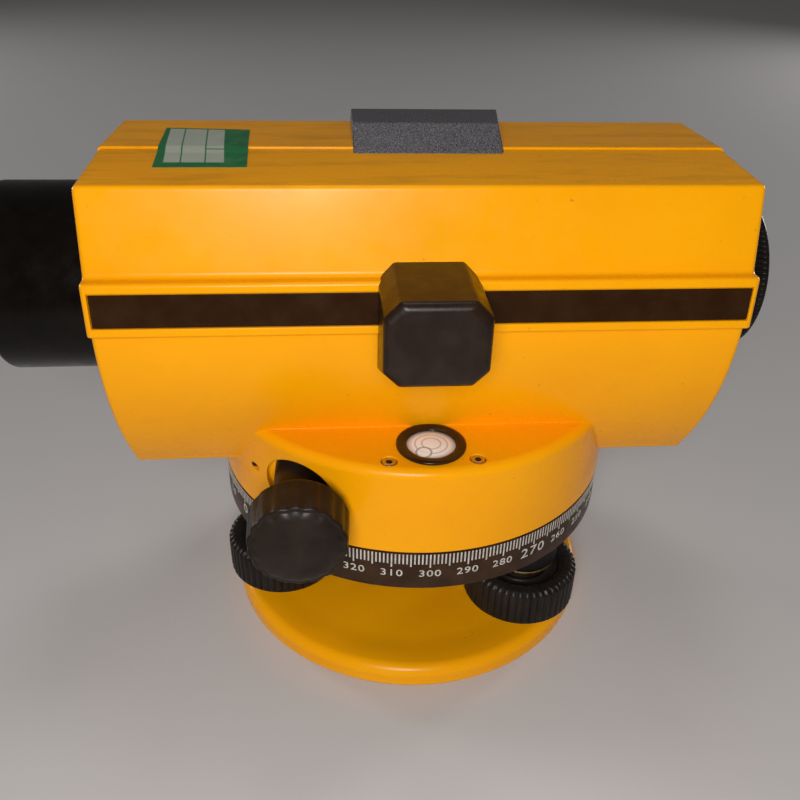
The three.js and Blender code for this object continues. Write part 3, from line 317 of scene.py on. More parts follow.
def paintLook(p):
    # two oranges drift into each other, with grime smears high on the body, fine specks and orange peel
    f = Finish("orangePaint")
    colour = f.blended(f.ramp(f.noise(p.driftScale), 0.35, 0.7), p.colour, p.shade)
    split = f.node("SeparateXYZ")
    f.given(split.inputs["Vector"], f.where)
    high = f.ramp(split.outputs["Z"], p.smearFrom, p.smearFull)
    smear = f.ramp(f.noise(p.smearScale, 7, 0.75, p.smearStretch), 0.5, 0.72)
    colour = f.blended(f.times(f.times(smear, high), p.smearShare), colour, p.grime)
    speck = f.ramp(f.noise(p.speckScale, 1, 0.4), 0.775, 0.83)
    colour = f.blended(f.times(speck, p.speckShare), colour, p.speck)
    rough = f.ramp(f.noise(160, 4), *middle, p.roughness - 0.05, p.roughness + 0.1)
    f.feed(Base_Color=colour, Roughness=rough, Specular_IOR_Level=p.shine, Coat_Weight=p.coat,
           Coat_Roughness=p.coatRoughness)
    f.bumped(f.noise(p.peelScale, 2), p.peel, p.peelDepth, p.edge)
    return f.look


def blackLook(name, colour, roughness, grain, grainScale, edge=0.0002, light=None, coat=0.0, shine=0.15,
              deep=0.00008, cloudScale=140):
    # near-black with a faint cloud of a second tone, uneven gloss and a fine grain
    f = Finish(name)
    light = light or tuple(min(1.0, c * 1.7 + 0.003) for c in colour)
    cloud = f.ramp(f.noise(cloudScale, 5), 0.4, 0.75)
    gloss = f.ramp(f.noise(260, 4), *middle, roughness - 0.06, roughness + 0.08)
    f.feed(Base_Color=f.blended(cloud, colour, light), Roughness=gloss, Specular_IOR_Level=shine, Coat_Weight=coat)
    f.bumped(f.noise(grainScale, 3), grain, deep, edge)
    return f.look


def metalLook(name, colour, roughness):
    # bare metal with an even fine grain
    f = Finish(name)
    grain = f.noise(900, 3, 0.6, (1, 1, 1))
    dark = tuple(c * 0.75 for c in colour)
    gloss = f.ramp(grain, *middle, roughness - 0.06, roughness + 0.1)
    f.feed(Metallic=1, Base_Color=f.blended(f.ramp(grain, *middle), dark, colour), Roughness=gloss)
    f.bumped(grain, 0.12, 0.00002)
    return f.look


def glassLook(name, tint, roughness=0.02, coatTint=None):
    f = Finish(name)
    smear = f.ramp(f.noise(120, 4), 0.35, 0.75, roughness, roughness + 0.05)
    tone = f.blended(f.ramp(f.noise(60), *middle), tint, coatTint or tint)
    f.feed(Transmission_Weight=1, IOR=1.5, Roughness=smear, Base_Color=tone)
    return f.look


def plainLook(name, colour, second, roughness, scale=300, grain=0.1):
    f = Finish(name)
    gloss = f.ramp(f.noise(scale * 2, 3), *middle, roughness - 0.05, roughness + 0.08)
    f.feed(Base_Color=f.blended(f.ramp(f.noise(scale, 4), 0.35, 0.7), colour, second), Roughness=gloss)
    f.bumped(f.noise(scale * 4, 2), grain, 0.00004)
    return f.look


paint = paintLook(orangePaint)
# the warm brown in these blacks' colours is partly their own tone and partly painted reflection of the orange paint
# around them
barrelBlack = blackLook("barrelBlack", (0.003, 0.002, 0.0014), 0.22, 0.05, 1500, light=(0.006, 0.004, 0.003))
boxBlack = blackLook("boxBlack", (0.013, 0.006, 0.003), 0.32, 0.35, 700, 0.0003, shine=0.25)
driveBlack = blackLook("driveBlack", (0.013, 0.008, 0.005), 0.36, 0.25, 1400)
footBlack = blackLook("footBlack", (0.012, 0.009, 0.007), 0.34, 0.12, 1300)
ringBlack = blackLook("ringBlack", (0.008, 0.006, 0.005), 0.3, 0.12, 1300)
circleBlack = blackLook("circleBlack", (0.032, 0.014, 0.005), 0.36, 0.12, 1500)
castingBlack = blackLook("castingBlack", (0.006, 0.005, 0.004), 0.5, 0.3, 900, 0.0004)
# the sight's pale grey second tone is partly the grain of its plastic and partly painted glints of its pebbled face
sightBlack = blackLook("sightBlack", (0.010, 0.008, 0.010), 0.42, 1.0, 1900, 0.0003, (0.17, 0.155, 0.17),
                       shine=1.0, deep=0.0002, cloudScale=2700)
bezelBlack = blackLook("bezelBlack", (0.026, 0.010, 0.003), 0.2, 0.04, 900, coat=0.25)
stripeLook = blackLook("stripeBrown", (0.024, 0.008, 0.0015), 0.24, 0.04, 900, 0.0001, (0.034, 0.014, 0.004), 0.1)
whiteMarks = plainLook("whiteMarks", (0.62, 0.58, 0.52), (0.42, 0.38, 0.33), 0.5, 700)
steel = metalLook("turnedSteel", (0.62, 0.62, 0.64), 0.28)
bronze = metalLook("turnedBronze", (0.62, 0.42, 0.17), 0.32)
bareAluminium = metalLook("bareAluminium", (0.75, 0.76, 0.78), 0.34)
nylon = plainLook("nylon", (0.78, 0.75, 0.66), (0.70, 0.66, 0.56), 0.45)
clearGlass = glassLook("clearGlass", (0.93, 0.97, 0.96))
coatedGlass = glassLook("coatedGlass", (0.72, 0.86, 0.80), 0.015, (0.66, 0.74, 0.90))
print("finishes ready")

basePlate = Sizes(
    radius=57.5, height=9.4, rimRound=3.1, footRound=3.2, footIn=1.5, footUp=1.2, footFlat=4.0,
    dishRadius=44, dishTop=8.7, hubRadius=19, hubTop=9.0, hubFoot=0.5, hubStep=0.1, hubLean=0.4,
    screwHole=7.94, holeEdge=0.6, pocket=8.0, pocketLow=1.5, pocketTop=12,
)
footScrew = Sizes(
    reach=43.5, bearings=(-43, 77, 197),
    ball=4.2, ballHeight=7.2, neck=3.0, neckLow=2.8, collar=6.0, collarLow=12.1, collarHigh=13.7, softEdge=0.35,
    shank=4.0, top=39.8, tip=((0.3, 0.6), (0.7, 0.05)), pitch=0.75, threadDepth=0.28, threadRows=430,
    knobRadius=17.0, knobLow=14.0, knobTop=26.2, ribs=48, ribDepth=0.7, ribStart=0.3, ribFade=0.5, ribInner=13.2,
    # inwards and upwards from the knob's lower edge, inwards and downwards from its upper edge
    lowEdge=((0.5, 0), (0, 0.6)), topEdge=((0, 1.3), (1.2, 0.1), (2.3, 0)), bore=0.35, boreTop=0.8,
    # radius and depth of the steps in the knob's top
    recess=((13.3, 0), (12.6, 0.7), (11.9, 0.7), (11.4, 2.2), (9.2, 2.2), (8.8, 1.7), (8.2, 1.7), (7.8, 3.4),
            (6.6, 3.4), (6.1, 0.8)),
    seatRadius=7.7, seatLow=1.8, seatTop=7.7, seatMouth=4.6, seatCup=((4.5, 0), (3.2, 3.2), (0, 4.5)),
    nut=((4.95, 27.3), (9.9, 27.3), (9.9, 28.5), (7.7, 28.5), (7.7, 39.6), (5.5, 39.6), (5.5, 31), (4.95, 30.9)),
)
footPlaces = [
    (footScrew.reach * math.cos(math.radians(a)), footScrew.reach * math.sin(math.radians(a)), 0)
    for a in footScrew.bearings
]


def makeBasePlate(p):
    # plain turned plate: quarter-round rim, long shallow dish, low hub; the seats are drilled into it
    r, h, e = p.radius, p.height, p.holeEdge
    rim = np.radians(np.linspace(0, 90, 14))
    rimCurve = np.stack([r - p.rimRound * (1 - np.cos(rim)), h - p.rimRound * (1 - np.sin(rim))], -1)
    fall = np.linspace(0, 1, 10)[1:]
    dish = np.stack([
        rimCurve[-1, 0] + (p.dishRadius - rimCurve[-1, 0]) * fall,
        h - (h - p.dishTop) * (0.5 - 0.5 * np.cos(np.pi * fall)),
    ], -1)
    profile = np.vstack([
        [[p.screwHole, e], [p.screwHole + e, 0], [r - p.footFlat, 0], [r - p.footIn, p.footUp], [r, p.footRound]],
        rimCurve, dish,
        [[p.hubRadius + p.hubFoot, p.dishTop], [p.hubRadius, p.dishTop + p.hubStep],
         [p.hubRadius - p.hubLean, p.hubTop], [p.screwHole + e, p.hubTop], [p.screwHole, p.hubTop - e]],
    ])
    plate = meshOf("basePlate", [spun(profile, 240)], wrapRows=True)
    pockets = [rodMesh(p.pocket, p.pocketLow, p.pocketTop, 64, shift=place) for place in footPlaces]
    put("basePlate", worked(plate, cut=pockets), paint, "base", ["base_plate"], weighted=True)


def makeFootScrews(p):
    ball = np.radians(np.linspace(-90, math.degrees(math.acos(p.neck / p.ball)), 20))
    ballCurve = np.stack([p.ball * np.cos(ball), p.ballHeight + p.ball * np.sin(ball)], -1)
    lower = np.vstack([ballCurve, softCorners([
        [p.neck, p.ballHeight + p.neckLow], [p.neck, p.collarLow], [p.collar, p.collarLow],
        [p.collar, p.collarHigh], [p.shank - p.threadDepth, p.collarHigh],
    ], p.softEdge, 3, False)])

    # screw thread: radius is a rounded zigzag of height over pitch minus the angle's share of a turn
    tip = [[p.shank - inwards, p.top - down] for inwards, down in p.tip] + [[0, p.top]]
    rows = np.linspace(p.collarHigh + 0.1, tip[0][1], p.threadRows)
    shank = np.stack([np.full(p.threadRows, p.shank), rows], -1)

    def thread(angle, profile):
        phase = profile[:, 1:2] / p.pitch - angle / (2 * np.pi)
        saw = np.abs((phase % 1) * 2 - 1)
        return p.threadDepth * np.clip(1.35 * saw - 0.15, 0, 1)

    def ribs(angle, profile):
        # rounded ribs that fade out at the knob's foot and run through its serrated top edge
        height = profile[:, 1:2]
        on = np.clip((height - p.knobLow - p.ribStart) / p.ribFade, 0, 1) * (profile[:, 0:1] > p.ribInner)
        groove = np.abs(np.sin(angle * p.ribs / 2)) ** 0.7
        return p.ribDepth * on * (1 - groove)

    r, low, top, bore = p.knobRadius, p.knobLow, p.knobTop, p.shank + p.bore
    knob = [[bore, low]] + [[r - a, low + b] for a, b in p.lowEdge] + [[r - a, top - b] for a, b in p.topEdge]
    knob += [[radius, top - down] for radius, down in p.recess] + [[bore, top - p.boreTop]]
    knob = softCorners(knob, 0.4, 3)
    seat = [[0, p.seatLow], [p.seatRadius, p.seatLow], [p.seatRadius, p.seatTop], [p.seatMouth, p.seatTop]]
    seat += [[radius, p.ballHeight - down] for radius, down in p.seatCup]
    seat = softCorners(seat, [0, 0.3, 0.5, 0.3, 0.3, 0.8, 0], 3, False)
    nut = softCorners(p.nut, 0.25, 2)
    seatBodies = ("base", "tilt_stage_1", "tilt_stage_2")
    for i, place in enumerate(footPlaces, 1):
        body = f"foot_screw_{i}"
        at = np.array(place)
        stud = meshOf("stud", [spun(lower, 64) + at, spun(shank, 64, thread) + at, spun(tip, 64) + at])
        put(f"footStud{i}", stud, steel, body, [f"foot_stud_{i}"])
        grip = meshOf("knob", [spun(knob, 512, ribs) + at], wrapRows=True)
        put(f"footKnob{i}", grip, footBlack, body, [f"foot_knob_{i}"], 50)
        cup = meshOf("seat", [spun(seat, 64) + at], capped=False)
        put(f"ballSeat{i}", cup, nylon, seatBodies[i - 1], [f"ball_seat_{i}"])
        ring = meshOf("nut", [spun(nut, 64) + at], wrapRows=True)
        put(f"footNut{i}", ring, bronze, "tribrach", [f"foot_nut_{i}"])


makeBasePlate(basePlate)
makeFootScrews(footScrew)
print("base plate and foot screws ready")

tribrachCasting = Sizes(
    hub=19.0, hubLow=25.0, hubTop=41.0, boss=10.4, bossLow=28.8, armTop=39.6, armLow=33.0, armHalf=6.5,
    armStart=6, waist=0.9, armSoft=0.28, bore=12.5, nutHole=8.0, drillLow=20, drillTop=50,
)
# radius and height of the bush, and of the ring nut under it
spindleBush = ((9.3, 25), (12.2, 25), (12.2, 41.3), (17, 41.3), (17, 42.9), (12.2, 42.9), (12.2, 64), (9.3, 64))
spindleNut = Sizes(
    ring=((9.3, 20.5), (13, 20.5), (13, 24.7), (9.3, 24.7)), slotHalf=1.1, slotReach=14, slotLow=19, slotTop=21.9,
)


def makeTribrach(p):
    # hub and bosses are turned, the arms are rounded bars between them
    def turnedBoss(radius, low, high, place=(0, 0, 0)):
        profile = softCorners([[0, low], [radius, low], [radius, high], [0, high]], [0, 1.0, 0.7, 0], 5, False)
        return meshOf("boss", [spun(profile, 96) + np.array(place)], capped=False)

    def arm(bearing):
        # a bar along the bearing whose section is a softened rectangle, waisted half-way
        section = softCorners([[-1, -1], [1, -1], [1, 1], [-1, 1]], p.armSoft, 5)
        run = np.linspace(p.armStart, footScrew.reach, 24)[:, None]
        half = p.armHalf - p.waist * np.sin(np.pi * (run - p.armStart) / (footScrew.reach - p.armStart))
        mid, tall = (p.armTop + p.armLow) / 2, (p.armTop - p.armLow) / 2
        across = half * section[None, :, 0]
        height = np.repeat(mid + tall * section[None, :, 1], len(run), 0)
        a = math.radians(bearing)
        x = run * math.cos(a) - across * math.sin(a)
        y = run * math.sin(a) + across * math.cos(a)
        return meshOf("arm", [np.stack([x, y, height], -1)])

    arms = [arm(bearing) for bearing in footScrew.bearings]
    bosses = [turnedBoss(p.boss, p.bossLow, p.armTop, place) for place in footPlaces]
    holes = [rodMesh(p.nutHole, p.drillLow, p.drillTop, 64, shift=place) for place in footPlaces]
    holes.append(rodMesh(p.bore, p.drillLow, p.drillTop))
    casting = worked(turnedBoss(p.hub, p.hubLow, p.hubTop), arms + bosses, cut=holes)
    put("tribrachCasting", casting, castingBlack, "tribrach", ["tribrach"], weighted=True)


def makeBushAndNut(profile, p):
    # turned flanged bush; ring nut with four spanner slots in its lower face
    bush = meshOf("bush", [spun(softCorners(profile, 0.25, 2), 96)], wrapRows=True)
    put("spindleBush", bush, bronze, "tribrach", ["spindle_bush"])
    a, b = p.slotReach, p.slotHalf
    slots = [boxMesh((-x, -y, p.slotLow), (x, y, p.slotTop)) for x, y in ((a, b), (b, a))]
    nut = worked(meshOf("nut", [spun(softCorners(p.ring, 0.3, 3), 96)], wrapRows=True), cut=slots)
    put("spindleNut", nut, steel, "instrument", ["spindle_nut"], weighted=True)


makeTribrach(tribrachCasting)
makeBushAndNut(spindleBush, spindleNut)
print("tribrach ready")

degreeCircle = Sizes(
    radius=58.0, low=42.0, top=53.84, wall=2.6, webLow=43.2, webTop=45.6, hub=19.0, hubTop=50.2, bore=12.5,
    edge=0.35, outerEdge=0.1, facing=-90.2, facingLabel=300,
    short=3.1, middle=3.95, long=4.25, tickWidth=0.40, tickTop=0.05, tickExtra=0.2, sunk=-0.05, proud=0.03,
    digitHeight=2.32, quarterHeight=3.25, digitWide=1.18, digitMiddle=47.35, capShare=0.73, spacing=1.12, weight=0.02,
)


def makeCircle(p):
    inner = p.radius - p.wall
    edges = [p.edge] * 4 + [p.outerEdge] + [p.edge] * 5
    profile = softCorners([
        [p.bore, p.webLow], [inner, p.webLow], [inner, p.low], [p.radius, p.low], [p.radius, p.top],
        [inner, p.top], [inner, p.webTop], [p.hub, p.webTop], [p.hub, p.hubTop], [p.bore, p.hubTop],
    ], edges, 3)
    ring = meshOf("ring", [spun(profile, 360)], wrapRows=True)
    put("degreeRing", ring, circleBlack, "circle", ["horizontal_circle"])

    # marks: a small block for each degree, wrapped on the rim; block corners are angle, height, depth
    label = np.arange(360)
    angle = np.radians(p.facing + (p.facingLabel - label))
    length = np.where(label % 10 == 0, p.long, np.where(label % 5 == 0, p.middle, p.short))
    side = np.array([-1, 1, 1, -1, -1, 1, 1, -1]) * p.tickWidth / 2 / p.radius
    down = np.array([0, 0, 1, 1, 0, 0, 1, 1])
    out = np.array([p.sunk] * 4 + [1] * 4) * p.proud
    a = angle[:, None] + side[None, :]
    z = p.top - p.tickTop - down[None, :] * (length[:, None] + p.tickExtra)
    r = p.radius + np.repeat(out[None, :], 360, 0)
    corner = np.stack([r * np.cos(a), r * np.sin(a), z], -1).reshape(-1, 3)
    block = np.array([[0, 3, 2, 1], [4, 5, 6, 7], [0, 1, 5, 4], [1, 2, 6, 5], [2, 3, 7, 6], [3, 0, 4, 7]])
    faces = (label[:, None, None] * 8 + block[None]).reshape(-1, 4)
    put("degreeTicks", meshFrom("ticks", corner, faces.tolist()), whiteMarks, "circle")

    # numbers: flat text turned to a mesh, then x goes round the rim and y up it
    points, faces, start = [], [], 0
    for value in range(0, 360, 10):
        words = bpy.data.curves.new("number", "FONT")
        words.body = str(value)
        words.align_x = "CENTER"
        words.size = (p.quarterHeight if value % 90 == 0 else p.digitHeight) / p.capShare
        words.space_character = p.spacing
        words.offset = p.weight
        words.extrude = p.proud
        words.resolution_u = 3
        holder = linked("number", words)
        flat = bpy.data.meshes.new_from_object(holder.evaluated_get(bpy.context.evaluated_depsgraph_get()))
        co = np.zeros(len(flat.vertices) * 3)
        flat.vertices.foreach_get("co", co)
        co = co.reshape(-1, 3)
        co[:, 1] -= (co[:, 1].min() + co[:, 1].max()) / 2
        a = math.radians(p.facing + (p.facingLabel - value)) + co[:, 0] * p.digitWide / p.radius
        r = p.radius + co[:, 2]
        points.append(np.stack([r * np.cos(a), r * np.sin(a), p.digitMiddle + co[:, 1]], -1))
        faces += [[v + start for v in f.vertices] for f in flat.polygons]
        start += len(co)
        bpy.data.objects.remove(holder)
        bpy.data.meshes.remove(flat)
    put("degreeNumbers", meshFrom("numbers", np.vstack(points), faces), whiteMarks, "circle")


makeCircle(degreeCircle)
print("circle ready")

body = Sizes(
    back=-78.8, front=74.9, bottom=64.6, top=145.8, optic=107.7, endRound=1.3,
    flat=13.9, shoulder=38.7, nearDrop=2.2, farDrop=6.0, shoulderRound=0.9, facet=44.9, facetTop=43.2,
    bandLow=112.0, bandTop=124.4, proud=2.8, lean=1.1, bandEdge=0.55, ledgeRound=1.2, rimRound=0.9, rimLean=0.1,
    keel=28.6, keelRound=1.2, keelLean=0.4, bulge=0.4, bulgeTop=1.1, wall=3.3, endWall=4.0,
    seam=0.3, cover=1.6, lip=0.5, slotHalf=10.9, slotEnd=9, slotDepth=7,
    stripeLow=114.4, stripeTop=122.0, stripeMargin=1.8, stripeDepth=0.8, stripeCut=60,
    barrelHole=25.5, eyeHole=13.3, focusX=-31.0, focusHeight=118.5, shaftHole=4.9, shaftHoleBack=30, shaftHoleFront=52,
)
turret = Sizes(
    radius=58.0, inner=54.6, bottom=54.06, top=80.0, floorBottom=74.4, floorTop=77.6, floorCut=60, round=2.4,
    skirtEdge=0.5,
    driveX=-33.3, driveHeight=67.2, pocket=9.0, pocketWall=2.6, pocketBack=42.0, pocketFront=62,
    bossEnd=34.0, bossSunk=1.7,
    grooveBack=36.4, grooveFront=43, grooveInner=5.9, bushHole=5.3,
    vialReach=46.4, vialHole=8.2, vialDrillTop=80.5, screwSpread=11.0, screwReach=52.8, screwHole=2.1,
    drillLow=70, drillTop=84, grubX=-45.6, grubHole=1.1, grubBack=26, grubMouth=44, grubStart=27, grubEnd=34.4,
)
clear = 3  # how far a cutting tool runs on past a surface


def halfSection(p, proud=True, far=False):
    # (y, z) from the middle of the top down to the middle of the keel; the top falls more on the far side
    top = p.top - p.lip
    shoulder = np.array([p.shoulder, p.top - (p.farDrop if far else p.nearDrop)])
    flat = np.array([p.flat, top])
    facetTop = np.array([p.facetTop, p.bandTop])
    toFlat = (flat - shoulder) / np.linalg.norm(flat - shoulder) * p.shoulderRound
    fall = (facetTop - shoulder) / np.linalg.norm(facetTop - shoulder)
    rows = [[[0, top], flat, (flat + shoulder) / 2]]
    rows += [curveBetween(shoulder + toFlat, shoulder, shoulder + fall * p.shoulderRound, 8)]
    low = p.facet + p.proud
    high = low - p.lean
    e, ledge, rim, z = p.bandEdge, p.ledgeRound, p.rimRound, p.bandLow
    if proud:
        rows += [
            curveBetween(facetTop - fall * ledge, facetTop, facetTop + [ledge, 0], 5),
            curveBetween([high - rim, p.bandTop], [high, p.bandTop], [high + p.rimLean, p.bandTop - rim], 5),
            curveBetween([low, z + e], [low, z], [low - e, z], 4),
            curveBetween([p.facet + e, z], [p.facet, z], [p.facet, z - e], 4),
        ]
    else:
        rows += [[facetTop], [[p.facet, z]]]
    keelTop = np.array([p.keel, p.bottom + p.keelRound])
    swell = [p.facet + p.bulge, (z + p.bottom) / 2]
    rows += [
        curveBetween([p.facet, z - p.bulgeTop], swell, keelTop, 22),
        curveBetween(keelTop, [p.keel - p.keelLean, p.bottom], [p.keel - p.keelRound, p.bottom], 5)[1:],
        [[0, p.bottom]],
    ]
    return np.vstack(rows)


def roundedEnds(back, front, reach, steps=5, between=()):
    # stations along X, and how far a quarter circle at both ends draws each of them in
    t = np.linspace(np.pi / 2, 0, steps)
    out, ins = reach * (1 - np.sin(t)), reach * (1 - np.cos(t))
    x = np.concatenate([back + out, between, (front - out)[::-1]])
    return x, np.concatenate([ins, np.zeros(len(between)), ins[::-1]])


def bodyRings(p, back, front, inset=0, proud=True, endRound=0.0):
    # the section drawn in on every side towards each end
    loop = np.vstack([halfSection(p, proud, True), (halfSection(p, proud) * [-1, 1])[::-1][1:-1]])
    between = np.linspace(back + endRound + 1, front - endRound - 1, 3)
    x, ins = roundedEnds(back, front, endRound, 7 if endRound else 1, between)
    ins = ins + inset
    across = 1 - ins / p.facet
    upright = 1 - ins / ((p.top - p.bottom) / 2)
    y = loop[None, :, 0] * across[:, None]
    z = p.optic + (loop[None, :, 1] - p.optic) * upright[:, None]
    return np.stack([np.repeat(x[:, None], len(loop), 1), y, z], -1)


def turretCore(p):
    edge = np.radians(np.linspace(0, 90, 12))
    profile = np.vstack([
        [[0, p.floorBottom], [p.inner, p.floorBottom], [p.inner, p.bottom], [p.radius - p.skirtEdge, p.bottom],
         [p.radius, p.bottom + p.skirtEdge]],
        np.stack([p.radius - p.round * (1 - np.cos(edge)), p.top - p.round * (1 - np.sin(edge))], -1),
        [[0, p.top]],
    ])
    return meshOf("turret", [spun(profile, 288)], capped=False)


def onDrive(profile, side, sides=96, ripple=None):
    # turned about the drive's axis, outwards on the near side with side -1
    return alongY(spun(profile, sides, ripple), side) + np.array([turret.driveX, 0, turret.driveHeight])


def crossRod(radius, low, high, side, sides=96):
    return meshOf("rod", [onDrive([[0, low], [radius, low], [radius, high], [0, high]], side, sides)], capped=False)


def stripeRecess(p):
    # block whose inner face leans with the band's face
    back, front = p.back + p.stripeMargin - p.seam, p.front - p.stripeMargin + p.seam
    lean = p.lean / (p.bandTop - p.bandLow)
    rows = []
    for height, z in ((p.stripeLow, p.stripeLow - p.seam), (p.stripeTop, p.stripeTop + p.seam)):
        y = lean * (height - p.bandLow) - (p.facet + p.proud - p.stripeDepth)
        rows.append([[back, -p.stripeCut, z], [front, -p.stripeCut, z], [front, y, z], [back, y, z]])
    return meshOf("box", [np.array(rows, float)])


def makeHousing(p, t):
    shell = meshOf("body", [bodyRings(p, p.back, p.front, endRound=p.endRound)])
    cavity = meshOf("cavity", [bodyRings(p, p.back + p.endWall, p.front - p.endWall, p.wall, False, 0)])
    edge, rebate = p.flat + p.seam, p.cover + p.seam
    underFloor = boxMesh((-t.radius, -t.radius, t.floorCut), (t.radius, t.radius, t.floorTop))
    bosses = []
    for side in (-1, 1):
        rounded = rodMesh(t.radius - t.bossSunk, t.bottom, t.top - t.round, 144)
        bosses.append(worked(crossRod(t.pocket + t.pocketWall, t.bossEnd, t.radius, side), common=[rounded]))
    cuts = [
        worked(cavity, cut=[underFloor]),
        boxMesh((p.back - clear, -edge, p.top - rebate), (p.front + clear, edge, p.top + clear)),
        boxMesh((p.back + p.slotEnd, -p.slotHalf, p.top - p.slotDepth),
                (p.front - p.slotEnd, p.slotHalf, p.top + clear)),
        stripeRecess(p),
    ]
    a, b, low, high = t.grooveInner, t.pocket, t.grooveBack, t.grooveFront
    groove = [[a, low], [b, low], [b, high], [a, high]]
    for side in (-1, 1):
        screwPlace = (side * t.screwSpread, -t.screwReach, 0)
        cuts += [
            crossRod(t.pocket, t.pocketBack, t.pocketFront, side),
            meshOf("groove", [onDrive(groove, side)], wrapRows=True),
            crossRod(t.bushHole, t.bossEnd - clear, t.pocketBack + clear, side, 48),
            rodMesh(t.screwHole, t.drillLow, t.drillTop, 48, shift=screwPlace),
        ]
    axis = (0, 0, p.optic)
    backHole, frontHole = p.back + p.endWall + p.seam, p.front - p.endWall - p.seam
    grubPlace = (t.grubX, 0, t.driveHeight)

    def towardsNear(grid):
        return alongY(grid, -1)

    cuts += [
        rodMesh(t.vialHole, t.drillLow, t.vialDrillTop, shift=(0, -t.vialReach, 0)),
        rodMesh(t.grubHole, t.grubBack, t.grubMouth, 24, towardsNear, grubPlace),
        rodMesh(p.barrelHole, p.back - clear, backHole, 160, alongX, axis),
        rodMesh(p.eyeHole, frontHole, p.front + clear, 96, alongX, axis),
        rodMesh(p.shaftHole, p.shaftHoleBack, p.shaftHoleFront, 48, alongY, (p.focusX, 0, p.focusHeight)),
    ]
    casting = worked(shell, [turretCore(t), *bosses], cut=cuts)
    put("housingCasting", casting, paint, "instrument", ["housing"], weighted=True)
    screw = rodMesh(t.grubHole - 0.04, t.grubStart, t.grubEnd, 24, towardsNear, grubPlace, 0.2)
    put("driveSetScrew", screw, castingBlack, "instrument")


def makeTopCover(p):
    # a softened rectangle carried along X, drawn in towards both ends by a quarter circle
    half, low = p.flat, p.top - p.cover
    section = softCorners([[-half, low], [half, low], [half, p.top], [-half, p.top]], [0.1, 0.1, 0.3, 0.3], 5)
    x, ins = roundedEnds(p.back, p.front, p.endRound)
    y = np.repeat(section[None, :, 0], len(x), 0)
    z = np.minimum(section[None, :, 1], p.top - ins[:, None] * 0.8)
    strip = meshOf("bar", [np.stack([np.repeat(x[:, None], len(section), 1), y, z], -1)])
    put("topCoverStrip", strip, paint, "instrument", ["top_cover"], weighted=True)


makeHousing(body, turret)
makeTopCover(body)
print("housing ready")

sightBar = Sizes(
    left=-18.2, right=18.2, flare=2.2, top=150.36, cover=145.83, nearFoot=-17.3, nearFootHeight=145.08,
    stepFoot=(-14.3, 145.3), stepTop=-14.2, nearTop=-8.3, farTop=7.6, farFoot=16.0, edge=0.6,
    endSoft=0.4, endHalf=(12, 2.3),
)
prismHood = Sizes(
    middle=-2.0, halfWide=11.6, top=127.5, tall=19.2, fall=10.3, reach=20.6, front=65.5, chamfer=3.6, round=1.9,
    soft=0.6, wall=2.8, between=(10, 17), windowBack=50.5, windowTop=122.9, windowLow=90, windowRight=15, seat=0.1,
)
ruledLabel = Sizes(
    corners=((-65.6, 4.7), (-44.3, 2.9), (-42.6, -27.0), (-63.7, -27.1)), lift=0.12, sunk=0.02,
    seamOut=3.5, seamDrop=0.24, skew=-0.055, softness=0.004,
    green=((0.005, 0.115, 0.030), (0.010, 0.165, 0.045)), pale=(0.40, 0.43, 0.34), stain=(0.42, 0.36, 0.22),
    # pale fields: low and high along the body, low and high from the far edge to the near one
    fields=((0.052, 0.225, 0.03, 0.90), (0.240, 0.490, 0.03, 0.90),
            (0.505, 0.700, 0.03, 0.61), (0.505, 0.700, 0.625, 0.90)),
)


def makeSight(p):
    # a long bar of softened trapezium section; its foot steps over the cover's edge, its far side runs on to the right
    section = softCorners([
        [p.nearFoot, p.nearFootHeight], p.stepFoot, [p.stepTop, p.cover], [p.farFoot, p.cover],
        [p.farTop, p.top], [p.nearTop, p.top],
    ], [0.1, 0.1, 0.1, 0.2, p.edge, p.edge], 5)
    centre = np.array([0, (p.cover + p.top) / 2])
    along, ins = roundedEnds(p.left, p.right, p.endSoft)
    yz = centre + (section - centre)[None] * (1 - ins[:, None, None] / np.array(p.endHalf))
    lean = p.flare * np.clip((section[:, 0] - p.nearTop) / (p.farTop - p.nearTop), 0, 1)
    x = along[:, None] + lean[None] * (along[:, None] > 0)
    bar = meshOf("sight", [np.concatenate([x[..., None], yz], -1)])
    put("sightBar", bar, sightBlack, "instrument", ["sight"], weighted=True)


def makePrismHood(p):
    # chamfered box on the near band: its lower side falls towards the body, its front edge is rounded over
    def hoodRing(back, inset):
        w, c = p.halfWide - inset, p.chamfer
        high = p.top - inset
        low = p.top - p.tall - p.fall * back / p.reach + inset
        loop = softCorners([
            [w, high - c], [w - c, high], [c - w, high], [-w, high - c],
            [-w, low + c], [c - w, low], [w - c, low], [w, low + c],
        ], p.soft, 4)
        return np.stack([loop[:, 0] + p.middle, np.full(len(loop), back - p.front), loop[:, 1]], -1)

    t = np.linspace(0, np.pi / 2, 9)
    rings = [hoodRing(p.round * (1 - math.sin(a)), p.round * (1 - math.cos(a))) for a in t[::-1]]
    rings += [hoodRing(back, 0) for back in (*p.between, p.reach + p.wall)]
    seat = meshOf("seat", [bodyRings(body, body.back - p.seat, body.front + p.seat, -p.seat)])
    left, front = p.middle - p.halfWide + p.wall, -p.front + p.wall
    window = boxMesh((left, front, p.windowLow), (p.windowRight, -p.windowBack, p.windowTop))
    hood = worked(meshOf("hood", [np.array(rings)]), cut=[seat, window])
    put("prismHood", hood, boxBlack, "instrument", ["prism_box"], weighted=True)


